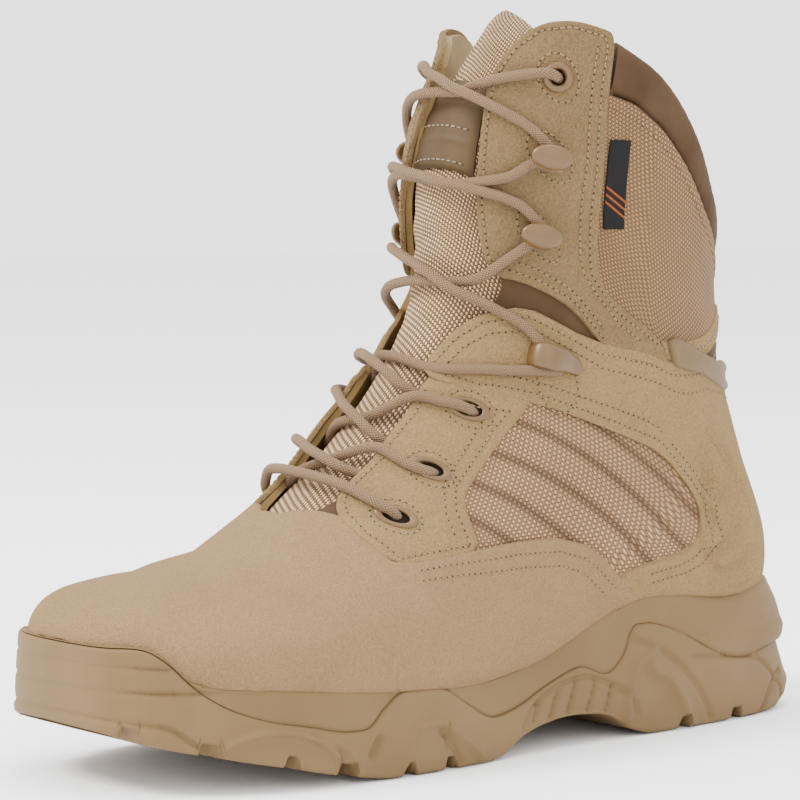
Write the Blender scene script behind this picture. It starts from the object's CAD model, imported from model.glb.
"""Looks of the combat boot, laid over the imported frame.

Shoe sizes are in millimetres: a runs from the back of the heel to the toe, c across with the outer
side positive, z up. A place on the last is a station k, from 0 at the toe to 18 above the collar, and an
angle: -90 at the low or back line, 90 at the front line, the inner side beyond them.
The surfaces that follow the last are made in mesh code, because no operator gives the last's own shape.
"""
import logging
import math
from dataclasses import dataclass, field
from enum import Enum
from functools import partial
from typing import Callable, Optional, Sequence

import bmesh
import bpy
import numpy as np
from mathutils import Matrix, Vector
from mathutils.geometry import delaunay_2d_cdt

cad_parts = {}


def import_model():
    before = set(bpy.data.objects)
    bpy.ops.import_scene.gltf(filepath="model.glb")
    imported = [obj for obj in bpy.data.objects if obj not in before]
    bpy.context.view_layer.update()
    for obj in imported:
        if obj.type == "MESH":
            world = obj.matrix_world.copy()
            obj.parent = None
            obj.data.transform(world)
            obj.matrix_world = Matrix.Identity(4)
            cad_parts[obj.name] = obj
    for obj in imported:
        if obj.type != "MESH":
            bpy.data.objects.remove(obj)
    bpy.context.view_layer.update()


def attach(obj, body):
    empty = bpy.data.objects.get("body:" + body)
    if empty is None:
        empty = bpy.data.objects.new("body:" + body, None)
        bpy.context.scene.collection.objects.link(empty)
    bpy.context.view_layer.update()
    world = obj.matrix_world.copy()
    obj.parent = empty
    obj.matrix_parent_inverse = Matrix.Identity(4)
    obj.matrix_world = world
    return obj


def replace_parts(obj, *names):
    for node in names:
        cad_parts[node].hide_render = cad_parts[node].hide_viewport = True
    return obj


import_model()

LOG = logging.getLogger("boot")
MM = 0.001
Corners = Sequence[tuple[float, float]]
Tree, Socket, Thing = bpy.types.NodeTree, bpy.types.NodeSocket, bpy.types.Object

# Driving sizes, as in the part's source
LENGTH, HEIGHT, BALL, SOLE_WIDTH = 300.0, 243.0, 101.0, 107.0
WALL, GAP, PANEL, BED = 2.2, 0.3, 1.3, 0.85
LACE = 3.5
SEAT = BED + PANEL
TONGUE_FACE = -WALL - 3.5 * GAP
THREAD_SINK = .12
# Turn of the three oval eyelets, of the speed hooks and of the ankle hook on the outer side, in radians
HOLE_TILT, HOOK_TILT, ANKLE_TILT = -.55, -.42, -.48
# Flat millimetres on the last of one station and of one degree
DOMAIN = np.array([16.0, .70])
PER_STATION, PER_DEGREE = map(float, DOMAIN)
# Padded channels of the window: where they start, their slope and bend, and their pitch
WINDOW_AT = (132.0, 14.0)
FAN_START, FAN_SLOPE, FAN_BEND, CHANNEL_PITCH = 12.5, .46, .008, 8.7


class Side(Enum):
    """Side of the boot that a piece lies on."""

    OUTER = "outer"
    INNER = "inner"


# Sections of the last, a row per section from the toe to above the collar, as in the part's source
SECTIONS = ("front_a", "front_z", "back_a", "back_z", "outer", "inner", "middle", "belly", "low", "top")
LAST = (
    (.983, .165, .983, .165, .000, .000, -.070, .45, 2.2, 2.2),
    (.978, .202, .977, .132, .165, .125, -.070, .45, 2.4, 2.2),
    (.964, .222, .958, .119, .305, .228, -.070, .45, 2.8, 2.2),
    (.938, .237, .922, .107, .425, .320, -.064, .45, 3.4, 2.2),
    (.893, .246, .860, .095, .495, .385, -.050, .44, 3.8, 2.2),
    (.833, .256, .785, .084, .528, .433, -.030, .42, 4.0, 2.2),
    (.768, .283, .695, .082, .540, .455, -.010, .38, 4.2, 2.1),
    (.702, .343, .592, .088, .532, .452, .000, .32, 4.4, 2.0),
    (.635, .418, .482, .103, .495, .425, .000, .28, 4.2, 2.0),
    (.578, .498, .348, .121, .430, .388, .000, .28, 3.6, 2.0),
    (.535, .576, .202, .130, .403, .385, .000, .34, 3.4, 2.1),
    (.515, .646, .082, .144, .383, .375, .000, .40, 3.3, 2.2),
    (.512, .716, .042, .214, .381, .376, .000, .46, 2.7, 2.3),
    (.507, .782, .062, .329, .381, .376, .000, .50, 2.1, 2.4),
    (.500, .848, .094, .453, .396, .391, .000, .50, 2.0, 2.4),
    (.492, .909, .111, .584, .421, .416, .000, .50, 2.0, 2.4),
    (.482, .971, .113, .720, .441, .436, .000, .50, 2.0, 2.4),
    (.470, 1.033, .108, .864, .455, .450, .000, .50, 2.0, 2.4),
    (.458, 1.095, .105, 1.012, .465, .460, .000, .50, 2.0, 2.4),
)
# Sole outline and heights along the sole, as shares of its sizes
OUTLINE = (
    (.00, .000, .000), (.06, .165, -.165), (.12, .277, -.274), (.18, .344, -.334), (.25, .385, -.368),
    (.33, .415, -.392), (.42, .437, -.400), (.50, .470, -.408), (.58, .519, -.450), (.66, .530, -.478),
    (.74, .493, -.462), (.82, .408, -.403), (.88, .326, -.340), (.94, .200, -.240), (1.0, -.056, -.056),
)
RIM = (
    (.000, .198), (.080, .190), (.160, .177), (.245, .189), (.295, .193), (.355, .180), (.415, .155),
    (.482, .126), (.545, .112), (.620, .111), (.700, .116), (.785, .123), (.858, .130), (.910, .137),
    (.933, .149), (.947, .168), (.961, .180), (1.00, .184),
)
PARTING = (
    (.000, .100), (.090, .095), (.120, .086), (.175, .095), (.232, .127), (.278, .148), (.308, .154),
    (.328, .148), (.342, .116), (.355, .099), (.415, .106), (.458, .091), (.520, .062), (.553, .058),
    (.590, .080), (.625, .105), (.662, .109), (.692, .106), (.712, .088), (.728, .069), (.748, .066),
    (.805, .078), (.860, .093), (.895, .111), (.922, .135), (.946, .166), (.960, .179), (1.00, .183),
)
GROUND = (
    (.000, .032), (.020, .014), (.060, .000), (.300, .000), (.330, .010), (.365, .033), (.405, .041),
    (.465, .038), (.508, .023), (.535, .005), (.555, .000), (.700, .000), (.758, .010), (.823, .027),
    (.893, .045), (.960, .064), (1.00, .080),
)
SLAB = (
    (.000, .080), (.300, .080), (.420, .078), (.560, .046), (.690, .046), (.800, .060), (.900, .078),
    (.960, .094), (1.00, .108),
)
FLARE = ((.000, .028), (.050, .022), (.120, .012), (.250, .006), (.350, .004), (1.00, .004))
# Edges of the shell: throat and margin underneath by station, tops by angle
THROAT = (
    (6.62, 90), (6.68, 84), (6.80, 78), (7.00, 72), (7.40, 67), (8.00, 66), (9.30, 66), (10.0, 64), (10.7, 58),
    (11.5, 53), (12.0, 59), (12.7, 62), (14.0, 63), (18.0, 63),
)
MARGIN = (
    (2.00, -90), (2.10, -80), (2.30, -70), (2.80, -60), (3.50, -54), (9.50, -52), (10.5, -54), (11.0, -62),
    (11.25, -75), (11.4, -90),
)
FABRIC_TOP = (
    (-90, 15.30), (-60, 15.38), (-42, 15.52), (-30, 15.63), (-16, 15.86), (-3, 16.03), (7, 16.09), (17, 15.97),
)
FACING_TOP = ((18, 16.86), (24, 16.86), (36, 16.79), (48.5, 16.52), (58, 15.97), (64.5, 15.30))
COLLAR_TOP = (
    (-90, 15.75), (-60, 15.80), (-37.5, 15.98), (-24.5, 16.29), (-8.5, 16.58), (3, 16.74), (16, 16.80),
)
# Tongue: station, drop of its sides, sink and bulge
TONGUE = (
    (5.9, .0, .0, .0), (6.6, .0, .0, .0), (7.2, .0, .0, .3), (7.8, .0, .0, .8), (8.4, .0, .0, 1.1),
    (9.0, .0, .0, 1.2), (9.6, .0, .0, 1.2), (10.1, .0, .0, 1.2), (10.6, .0, .0, 1.2), (11.1, .0, .0, 1.2),
    (11.6, .0, .0, 1.2), (12.2, .0, .1, 1.2), (12.8, .0, .3, 1.2), (13.5, .0, .7, 1.2), (14.3, .0, 1.6, 1.2),
    (15.2, .0, 4.2, 1.2), (16.0, .15, 8.0, 1.2), (16.6, .45, 11.5, .8), (16.85, .75, 13.0, .3),
)
# Panels as stations and angles on the outer side
FACING = (
    (14.52, 64.5), (15.25, 64.5), (15.97, 58), (16.52, 48.5), (16.80, 36), (16.86, 23), (15.95, 17.5),
    (14.66, 15.5), (13.79, 16.5), (12.97, 16.5), (12.84, 11.5), (13.20, -3.5), (12.95, -3.5), (12.40, 11),
    (12.08, 20), (12.12, 28), (11.95, 38), (11.74, 48.5), (11.56, 54.5), (11.78, 60.5), (12.65, 63.5),
)
QUARTER = (
    (9.27, 68.5), (8.81, 66.5), (8.23, 68), (8.01, 67), (7.55, 69), (7.31, 69), (7.14, 67), (7.00, 62),
    (6.93, 50), (7.01, 33), (8.09, 20.5), (8.28, 33.5), (8.44, 37), (9.31, 38.5), (9.81, 37.5), (10.02, 37),
    (9.54, 50), (9.33, 60.5),
)
STRAP_TOP = ((13.12, -5.4), (13.32, -9.5), (13.97, -44), (14.30, -65), (14.47, -90))
STRAP_LOW = ((14.17, -90), (13.97, -65), (13.63, -43), (13.22, -21), (12.80, -5.4))
SIDE_TAG = ((15.31, 14.6), (15.53, 7.5), (14.18, 7.5), (13.88, 14.6))
# Station and angle of each fitting on the outer side
EYELETS = ((7.50, 47), (8.31, 49), (9.33, 50))
ANKLE_HOOK = (10.91, 36.5)
HOOKS = ((12.84, 38.5), (14.33, 36))
TOP_EYELET = (15.74, 37)


def curve(rows: Sequence[Sequence[float]], column: int, at: np.ndarray) -> np.ndarray:
    """Smooth value of one column of a table.

    Args:
        rows: table whose first column rises.
        column: column to read.
        at: places along the first column.

    Returns:
        Values at those places.
    """
    xs = np.array([row[0] for row in rows], float)
    ys = np.array([row[column] for row in rows], float)
    at = np.clip(np.asarray(at, float), xs[0], xs[-1])
    steps = np.diff(xs)
    rises = np.diff(ys) / steps
    slopes = np.empty(len(xs))
    slopes[0], slopes[-1] = rises[0], rises[-1]
    slopes[1:-1] = (rises[:-1] * steps[1:] + rises[1:] * steps[:-1]) / (steps[:-1] + steps[1:])
    row = np.clip(np.searchsorted(xs, at, side="right") - 1, 0, len(xs) - 2)
    h = steps[row]
    t = (at - xs[row]) / h
    value = ys[row] * (2 * t**3 - 3 * t**2 + 1) + ys[row + 1] * (3 * t**2 - 2 * t**3)
    return value + h * slopes[row] * (t**3 - 2 * t**2 + t) + h * slopes[row + 1] * (t**3 - t**2)


def table(rows: Sequence[tuple[float, float]], at: np.ndarray) -> np.ndarray:
    """Value of a two-column table in straight pieces."""
    return np.interp(at, [row[0] for row in rows], [row[1] for row in rows])


def smooth(low: float, high: float, value: np.ndarray) -> np.ndarray:
    """Soft step from 0 at low to 1 at high."""
    t = np.clip((np.asarray(value, float) - low) / (high - low), 0, 1)
    return t * t * (3 - 2 * t)


def round_off(share: np.ndarray) -> np.ndarray:
    """Height of a rounded edge at a share of its width, from 0 at the edge to 1."""
    return np.sqrt(1 - (1 - np.clip(share, 0, 1))**2)


# How far the laces pull the top of the inner flap in over the tongue, by station
PULL = ((13.6, 0), (14.2, 2.5), (14.8, 7.5), (15.4, 12.5), (16.0, 15.5), (17.0, 16.5), (18.0, 16.5))
STATIONS = tuple((index,) + row for index, row in enumerate(LAST))
SCALES = dict(front_a=LENGTH, back_a=LENGTH, front_z=HEIGHT, back_z=HEIGHT, outer=BALL, inner=BALL,
              middle=BALL, belly=1.0, low=1.0, top=1.0)


def section(name: str, k: np.ndarray) -> np.ndarray:
    """Size of the last's section at stations k."""
    return curve(STATIONS, SECTIONS.index(name) + 1, k) * SCALES[name]


def edge_normal(side: str, k: np.ndarray) -> tuple[np.ndarray, np.ndarray]:
    """Outward normal of the front or back line of the last at stations k, in the side plane."""
    run = section(side + "_a", k + .02) - section(side + "_a", k - .02)
    rise = section(side + "_z", k + .02) - section(side + "_z", k - .02)
    size = np.maximum(np.hypot(run, rise), 1e-9)
    turn = 1.0 if side == "front" else -1.0
    return turn * rise / size, -turn * run / size


def shoe_points(k: np.ndarray, angle: np.ndarray, grow: np.ndarray) -> np.ndarray:
    """Places on the grown last in shoe coordinates.

    Args:
        k: stations.
        angle: angles in degrees.
        grow: distances outward in millimetres.

    Returns:
        One row of a, c, z for each place.
    """
    k, angle, grow = np.broadcast_arrays(np.asarray(k, float), np.asarray(angle, float), np.asarray(grow, float))
    front_n, back_n = edge_normal("front", k), edge_normal("back", k)
    front_a, front_z = section("front_a", k) + grow * front_n[0], section("front_z", k) + grow * front_n[1]
    back_a, back_z = section("back_a", k) + grow * back_n[0], section("back_z", k) + grow * back_n[1]
    rise, reach = np.sin(np.radians(angle)), np.cos(np.radians(angle))
    width = np.where(reach >= 0, section("outer", k), section("inner", k)) + grow
    power = 2.0 / np.where(rise >= 0, section("top", k), section("low", k))
    belly = section("belly", k)
    lift = np.abs(rise)**power
    share = np.where(rise >= 0, belly + (1 - belly) * lift, belly - belly * lift)
    across = section("middle", k) + np.sign(reach) * np.maximum(width, .02) * np.abs(reach)**power
    round_way = np.where(angle < -90, angle + 360, angle)
    across = across + table(PULL, k) * smooth(68, 116, round_way) * (1 - smooth(148, 188, round_way))
    return np.stack([back_a + (front_a - back_a) * share, across, back_z + (front_z - back_z) * share], -1)


def outline_at(turn: np.ndarray, side: Side) -> tuple[np.ndarray, np.ndarray, np.ndarray, np.ndarray]:
    """Sole outline and its outward normal at shares of the turn from heel to toe, on one side."""
    column, sign = (1, 1.0) if side is Side.OUTER else (2, -1.0)

    def place(value: np.ndarray) -> tuple[np.ndarray, np.ndarray]:
        """Distance along and across at one share."""
        return LENGTH * (1 - np.cos(np.pi * value)) / 2, curve(OUTLINE, column, value) * SOLE_WIDTH

    turn = np.asarray(turn, float)
    a1, c1 = place(np.minimum(turn + .004, 1))
    a0, c0 = place(np.maximum(turn - .004, 0))
    a, c = place(turn)
    size = np.hypot(a1 - a0, c1 - c0)
    normal_a, normal_c = -sign * (c1 - c0) / size, sign * (a1 - a0) / size
    end = (turn < .001) | (turn > .999)
    normal_a = np.where(end, np.where(turn < .5, -1.0, 1.0), normal_a)
    return a, c, normal_a, np.where(end, 0.0, normal_c)


TURNS = np.array([i / 60 for i in range(61)])
MIDDLE = float(outline_at(TURNS, Side.OUTER)[1].max() + outline_at(TURNS, Side.INNER)[1].min()) / 2


def height(rows: Sequence[tuple[float, float]], along: np.ndarray) -> np.ndarray:
    """Height above the floor of one of the sole's lines."""
    return np.maximum(curve(rows, 1, np.asarray(along, float) / LENGTH), 0.0) * HEIGHT


def world(points: np.ndarray) -> np.ndarray:
    """World places in metres of places in shoe coordinates."""
    points = np.asarray(points, float)
    return np.stack([points[..., 1] - MIDDLE, LENGTH / 2 - points[..., 0], points[..., 2]], -1) * MM


def over(corners: Corners) -> list[tuple[float, float]]:
    """Outline mirrored to the inner side over the front of the last."""
    return [(k, 180 - angle) for k, angle in corners][::-1]


def behind(corners: Corners) -> list[tuple[float, float]]:
    """Outline mirrored to the inner side round the back of the last."""
    return [(k, -180 - angle) for k, angle in corners][::-1]


def moved(corners: Corners, by: float) -> list[tuple[float, float]]:
    """Outline moved up by part of a station."""
    return [(k + by, angle) for k, angle in corners]


def on_side(corners: Corners, side: Side) -> list[tuple[float, float]]:
    """Outline as it is on the outer side, or mirrored over the front."""
    return list(corners) if side is Side.OUTER else over(corners)


# Finishes
def linear(code: str) -> tuple[float, float, float, float]:
    """Linear colour of an sRGB hex value."""
    parts = [int(code[i:i + 2], 16) / 255 for i in (0, 2, 4)]
    return tuple(v / 12.92 if v <= .04045 else ((v + .055) / 1.055)**2.4 for v in parts) + (1.0,)


def add(tree: Tree, kind: str, settings: Optional[dict] = None, **links: object) -> bpy.types.Node:
    """Add a node with its settings and links.

    Args:
        tree: node tree that takes it.
        kind: node type.
        settings: attributes of the node.
        links: sockets by name with _ for a space, or in0, in1 by place; a socket is linked and a value is set.

    Returns:
        The new node.
    """
    node = tree.nodes.new(kind)
    for key, value in (settings or {}).items():
        setattr(node, key, value)
    for key, value in links.items():
        socket = node.inputs[int(key[2:]) if key[2:].isdigit() else key.replace("_", " ")]
        if isinstance(value, Socket):
            tree.links.new(value, socket)
        else:
            socket.default_value = value
    return node


def begin(name: str) -> tuple[bpy.types.Material, Tree, Callable[..., Socket]]:
    """New material with its tree and a call that sums values in that tree."""
    made = bpy.data.materials.new(name)
    made.use_nodes = True
    return made, made.node_tree, partial(compute, made.node_tree)


def dress(tree: Tree, base: Socket, bump: dict, **values: object) -> None:
    """Give the tree's shader a colour, a bump and its other values.

    Args:
        tree: node tree of a new material.
        base: colour.
        bump: strength, distance and height of the bump.
        values: inputs of the shader by name with _ for a space.
    """
    shader = tree.nodes["Principled BSDF"]
    tree.links.new(base, shader.inputs["Base Color"])
    tree.links.new(add(tree, "ShaderNodeBump", None, **bump).outputs["Normal"], shader.inputs["Normal"])
    for key, value in values.items():
        shader.inputs[key.replace("_", " ")].default_value = value


def noise(tree: Tree, spot: Socket, scale: float, detail: float, rough: float = .5) -> Socket:
    """Noise at places, by its scale to the metre."""
    made = add(tree, "ShaderNodeTexNoise", None, Vector=spot, Scale=scale, Detail=detail, Roughness=rough)
    return made.outputs["Fac"]


def ramp(tree: Tree, factor: Socket, stops: Sequence[tuple[float, str]]) -> Socket:
    """Colour ramp through stops of place and hex colour."""
    node = add(tree, "ShaderNodeValToRGB", None, Fac=factor)
    for i, (place, code) in enumerate(stops):
        element = node.color_ramp.elements[i] if i < 2 else node.color_ramp.elements.new(place)
        element.position = place
        element.color = linear(code)
    return node.outputs["Color"]


def blend(tree: Tree, way: str, factor: object, first: object, second: object) -> Socket:
    """Two colours mixed in one way by a factor."""
    node = add(tree, "ShaderNodeMix", {"data_type": "RGBA", "blend_type": way}, in0=factor, in6=first, in7=second)
    return node.outputs[2]


def compute(tree: Tree, way: str, *values: object) -> Socket:
    """Result of one sum on its values."""
    return add(tree, "ShaderNodeMath", {"operation": way}, **{f"in{i}": v for i, v in enumerate(values)}).outputs[0]


@dataclass(frozen=True)
class Suede:
    """Brushed split leather: short nap, dull, with soft lighter and darker strokes."""

    name: str
    light: str
    dark: str
    nap_mm: float = 0.9

    def make(self) -> bpy.types.Material:
        """Material with a fine nap at its real grain and slow strokes of tone."""
        made, tree, total = begin(self.name)
        spot = add(tree, "ShaderNodeTexCoord").outputs["Object"]
        grain = 1 / (self.nap_mm * MM)
        nap, fine = noise(tree, spot, grain, 3.0, .7), noise(tree, spot, 2.6 * grain, 2.0, .6)
        slow = noise(tree, spot, 38.0, 4.0, .55)
        tone = total("ADD", total("MULTIPLY", nap, .50), total("MULTIPLY", slow, .14))
        tone = total("ADD", tone, total("MULTIPLY", fine, .36))
        rise = total("ADD", nap, total("MULTIPLY", fine, .6))
        base = ramp(tree, tone, ((.35, self.dark), (.65, self.light)))
        dress(tree, base, dict(Strength=1.0, Distance=.0012, Height=rise),
              Roughness=.92, Sheen_Weight=.05, Sheen_Roughness=.5, Sheen_Tint=linear("d8c0a0"), Specular_IOR_Level=.06)
        return made


@dataclass(frozen=True)
class SmoothLeather:
    """Finished full grain leather: fine pores, a slight sheen."""

    name: str
    light: str
    dark: str
    roughness: float = .5

    def make(self) -> bpy.types.Material:
        """Material with a pebble grain of about half a millimetre."""
        made, tree, _ = begin(self.name)
        spot = add(tree, "ShaderNodeTexCoord").outputs["Object"]
        grain = add(tree, "ShaderNodeTexVoronoi", {"feature": "SMOOTH_F1"}, Vector=spot, Scale=1500.0)
        base = ramp(tree, noise(tree, spot, 45.0, 3.0), ((.35, self.dark), (.65, self.light)))
        dress(tree, base, dict(Strength=.16, Distance=.0003, Height=grain.outputs["Distance"]),
              Roughness=self.roughness, Specular_IOR_Level=.16)
        return made


@dataclass(frozen=True)
class Weave:
    """Woven nylon: raised floats of thread with dark gaps, in a plain or basket order."""

    name: str
    thread: str
    shade: str
    gap: str
    pitch_mm: float
    turn: float = 0.0
    depth: float = .8
    channels: bool = False

    def make(self) -> bpy.types.Material:
        """Material whose weave follows the piece's own UV map, which is in metres of cloth."""
        made, tree, total = begin(self.name)
        spot = add(tree, "ShaderNodeTexCoord").outputs["UV"]
        turned = add(tree, "ShaderNodeMapping", None, Vector=spot, Rotation=(0, 0, math.radians(self.turn)))
        parts = add(tree, "ShaderNodeSeparateXYZ", None, Vector=turned.outputs["Vector"])
        rate = math.pi / (self.pitch_mm * MM)
        warp, weft = (total("SINE", total("MULTIPLY", parts.outputs[way], rate)) for way in "XY")
        order = total("MULTIPLY", warp, weft)
        upper = total("GREATER_THAN", order, 0.0)
        thread = total("POWER", total("ABSOLUTE", order), .45)
        cloth = blend(tree, "MIX", upper, linear(self.shade), linear(self.thread))
        worn = ramp(tree, noise(tree, spot, 60.0, 2.0), ((.3, "b8b0a8"), (.7, "ffffff")))
        cloth = blend(tree, "MULTIPLY", .35, cloth, worn)
        if self.channels:
            valleys = ramp(tree, self.channel(tree, spot), ((.10, "6a5a48"), (.62, "ffffff")))
            cloth = blend(tree, "MULTIPLY", .62, cloth, valleys)
        open_share = total("SUBTRACT", 1.0, total("MINIMUM", total("MULTIPLY", thread, 1.2), 1.0))
        rise = total("ADD", total("MULTIPLY", upper, .35), total("MULTIPLY", noise(tree, spot, 900.0, 2.0), .15))
        dress(tree, blend(tree, "MIX", open_share, cloth, linear(self.gap)),
              dict(Strength=self.depth, Distance=.0004, Height=total("ADD", thread, rise)),
              Roughness=.7, Sheen_Weight=.04, Specular_IOR_Level=.12)
        return made

    @staticmethod
    def channel(tree: Tree, spot: Socket) -> Socket:
        """Rise of the window's padded channels at cloth places, 0 in the sewn valleys, as in window_relief."""
        total, front = partial(compute, tree), 90 * PER_DEGREE
        parts = add(tree, "ShaderNodeSeparateXYZ", None, Vector=spot)
        u = total("SUBTRACT", total("MULTIPLY", parts.outputs["X"], 1000.0), WINDOW_AT[0])
        fold = total("ABSOLUTE", total("SUBTRACT", total("MULTIPLY", parts.outputs["Y"], 1000.0), front))
        v = total("SUBTRACT", front - WINDOW_AT[1], fold)
        lean = total("MULTIPLY", v, total("ADD", total("MULTIPLY", v, FAN_BEND), FAN_SLOPE))
        fan = total("SUBTRACT", total("ADD", u, lean), FAN_START)
        return total("ABSOLUTE", total("SINE", total("MULTIPLY", fan, math.pi / CHANNEL_PITCH)))


@dataclass(frozen=True)
class Braid:
    """Round braided cord: small slanting strands that meet in a V, along the cord's own UV map."""

    name: str
    light: str
    dark: str
    strand_mm: float = 2.2

    def make(self) -> bpy.types.Material:
        """Material with U round the cord and V along it, both in metres."""
        made, tree, total = begin(self.name)
        parts = add(tree, "ShaderNodeSeparateXYZ", None, Vector=add(tree, "ShaderNodeTexCoord").outputs["UV"])
        rate = math.tau / (self.strand_mm * MM)
        one, two = (total("SINE", total("MULTIPLY", total(way, parts.outputs["Y"], parts.outputs["X"]), rate))
                    for way in ("ADD", "SUBTRACT"))
        rise = total("POWER", total("ABSOLUTE", total("MULTIPLY", one, two)), .5)
        base = ramp(tree, rise, ((.05, self.dark), (.55, self.light)))
        dress(tree, base, dict(Strength=.9, Distance=.0006, Height=rise),
              Roughness=.8, Specular_IOR_Level=.12, Sheen_Weight=.06)
        return made


@dataclass(frozen=True)
class Moulded:
    """Injection moulded rubber or plastic: even tone, fine mould texture, soft gloss."""

    name: str
    light: str
    dark: str
    roughness: float = .55
    grain: float = .1
    gloss: float = .16

    def make(self) -> bpy.types.Material:
        """Material with a fine spark-eroded grain and slow changes of tone."""
        made, tree, _ = begin(self.name)
        spot = add(tree, "ShaderNodeTexCoord").outputs["Object"]
        base = ramp(tree, noise(tree, spot, 30.0, 4.0), ((.3, self.dark), (.7, self.light)))
        dress(tree, base, dict(Strength=self.grain, Distance=.0002, Height=noise(tree, spot, 2600.0, 2.0)),
              Roughness=self.roughness, Specular_IOR_Level=self.gloss)
        return made


class Finish(Enum):
    """The boot's finishes, a material each."""

    VAMP_SUEDE = Suede("suede_vamp", "9c805d", "7d6344", .8)
    BODY_SUEDE = Suede("suede_quarter", "9d8258", "735d3e", .9)
    SHAFT_SUEDE = Suede("suede_facing", "897150", "614e32", .9)
    SHAFT_CLOTH = Weave("nylon_shaft", "977752", "6e5338", "35230f", .66, 38.0, .9)
    WINDOW_CLOTH = Weave("nylon_window", "ac8a66", "7d6043", "3f2b1a", .66, 24.0, 1.0, True)
    TONGUE_CLOTH = Weave("nylon_tongue", "dcb88c", "6f533a", "281a0e", .95, 30.0, 1.0)
    LINING = SmoothLeather("leather_collar", "44321f", "392613", .75)
    INSIDE = SmoothLeather("leather_lining", "8c7448", "76603a", .65)
    PATCH = SmoothLeather("leather_patch", "4a3a23", "3c2c1b", .55)
    SOLE = Moulded("rubber_sole", "6a5538", "624d30", .6)
    STRAP = Moulded("rubber_back_strap", "69563a", "594830", .5)
    FITTING = Moulded("coated_metal", "5e4523", "533a1b", .36, .03, .45)
    HOLE = Moulded("eyelet_hole", "17100a", "0e0905", .9)
    NEEDLE = Moulded("needle_hole", "3a2c1c", "2c2013", .9)
    THREAD = Moulded("thread", "827053", "736145", .8)
    PALE_THREAD = Moulded("thread_pale", "877b66", "7b6d58", .8)
    CORD = Braid("braided_lace", "84694d", "35261a")
    TAG = Moulded("woven_tag", "181717", "110f10", .85)
    TAG_LINE = Moulded("woven_tag_line", "7e3c17", "733511", .85)
    FELT = Suede("felt_footbed", "36312a", "24201c", 1.2)
    FLOOR = Moulded("studio_floor", "fbfbfb", "fafafa", .9, 0.0)


MADE: dict[Finish, bpy.types.Material] = {}


def finish(choice: Finish) -> bpy.types.Material:
    """Material of a finish, made once."""
    if choice not in MADE:
        MADE[choice] = choice.value.make()
    return MADE[choice]


# Meshes
def piece(name: str, points: np.ndarray, faces: Sequence[Sequence[int]], slots: Sequence[Finish], *,
          uv: Optional[np.ndarray] = None, choice: Optional[Sequence[int]] = None, crease: float = 50.0) -> Thing:
    """Object of a mesh in world metres that rides on the boot's one body.

    Args:
        name: name of the piece.
        points: one world place a row.
        faces: corners of each face, turning outward.
        slots: finishes of its material slots.
        uv: one cloth place in metres for each point.
        choice: slot of each face.
        crease: sharpest angle in degrees that is shaded smooth.

    Returns:
        The new object.
    """
    mesh = bpy.data.meshes.new(name)
    mesh.from_pydata([tuple(p) for p in points], [], [tuple(f) for f in faces])
    for slot in slots:
        mesh.materials.append(finish(slot))
    if choice is not None:
        mesh.polygons.foreach_set("material_index", np.asarray(choice, np.int32))
    if uv is not None:
        layer = mesh.uv_layers.new(name="cloth")
        corner = np.empty(len(mesh.loops), np.int32)
        mesh.loops.foreach_get("vertex_index", corner)
        layer.data.foreach_set("uv", np.asarray(uv, np.float32)[corner].ravel())
    mesh.validate()
    mesh.shade_smooth()
    mesh.set_sharp_from_angle(angle=math.radians(crease))
    made = bpy.data.objects.new(name, mesh)
    bpy.context.scene.collection.objects.link(made)
    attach(made, "root")
    LOG.info("%s: %d faces", name, len(mesh.polygons))
    return made


def outward(made: Thing, weld: float = 0.0, thin: float = 0.0) -> Thing:
    """Turn the faces of a closed mesh outward, its near points joined and its thin edges dropped first."""
    work = bmesh.new()
    work.from_mesh(made.data)
    if weld:
        bmesh.ops.remove_doubles(work, verts=work.verts, dist=weld)
    if thin:
        bmesh.ops.dissolve_degenerate(work, edges=work.edges, dist=thin)
    bmesh.ops.recalc_face_normals(work, faces=work.faces)
    work.to_mesh(made.data)
    work.free()
    return made


def strips(count: int, wide: int, closed: bool = True) -> list[tuple[int, ...]]:
    """Faces between rows of points that lie one after another, each row closed on itself or open."""
    return [(i * wide + j, i * wide + (j + 1) % wide, (i + 1) * wide + (j + 1) % wide, (i + 1) * wide + j)
            for i in range(count - 1) for j in range(wide if closed else wide - 1)]


def two_skins(faces: Sequence[Sequence[int]], count: int) -> list[tuple[int, ...]]:
    """Faces of a front skin, of its turned copy count points on, and of the walls between their free edges."""
    front = [tuple(int(v) for v in face) for face in faces]
    known = {(p, q) for face in front for p, q in zip(face, face[1:] + face[:1])}
    walls = [(q, p, p + count, q + count) for p, q in known if (q, p) not in known]
    return front + [tuple(v + count for v in face[::-1]) for face in front] + walls


# Sheets laid on the last
def loop_of(corners: Corners, step: float, closed: bool = True) -> np.ndarray:
    """Outline of stations and angles as a flat line in millimetres with a point every step."""
    flat = np.array(corners, float) * DOMAIN
    rows = []
    for here, after in zip(flat, np.roll(flat, -1, 0) if closed else flat[1:]):
        count = max(1, int(math.ceil(np.linalg.norm(after - here) / step)))
        rows += [here + (after - here) * j / count for j in range(count)]
    return np.array(rows if closed else rows + [flat[-1]])


def path_of(corners: Corners) -> np.ndarray:
    """Open line of stations and angles as a flat line with a point every millimetre."""
    return loop_of(corners, 1.0, False)


def rounded(corners: Corners, rounds: int = 2) -> list[tuple[float, float]]:
    """Outline with its corners cut round, each cut a quarter of its side and at most 3 mm long."""
    flat = np.array(corners, float) * DOMAIN
    for _ in range(rounds):
        rows = []
        for p, q in zip(flat, np.roll(flat, -1, 0)):
            cut = min(.25, 3.0 / max(np.linalg.norm(q - p), 1e-6))
            rows += [p + (q - p) * cut, q + (p - q) * cut]
        flat = np.array(rows)
    return [tuple(row) for row in flat / DOMAIN]


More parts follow.
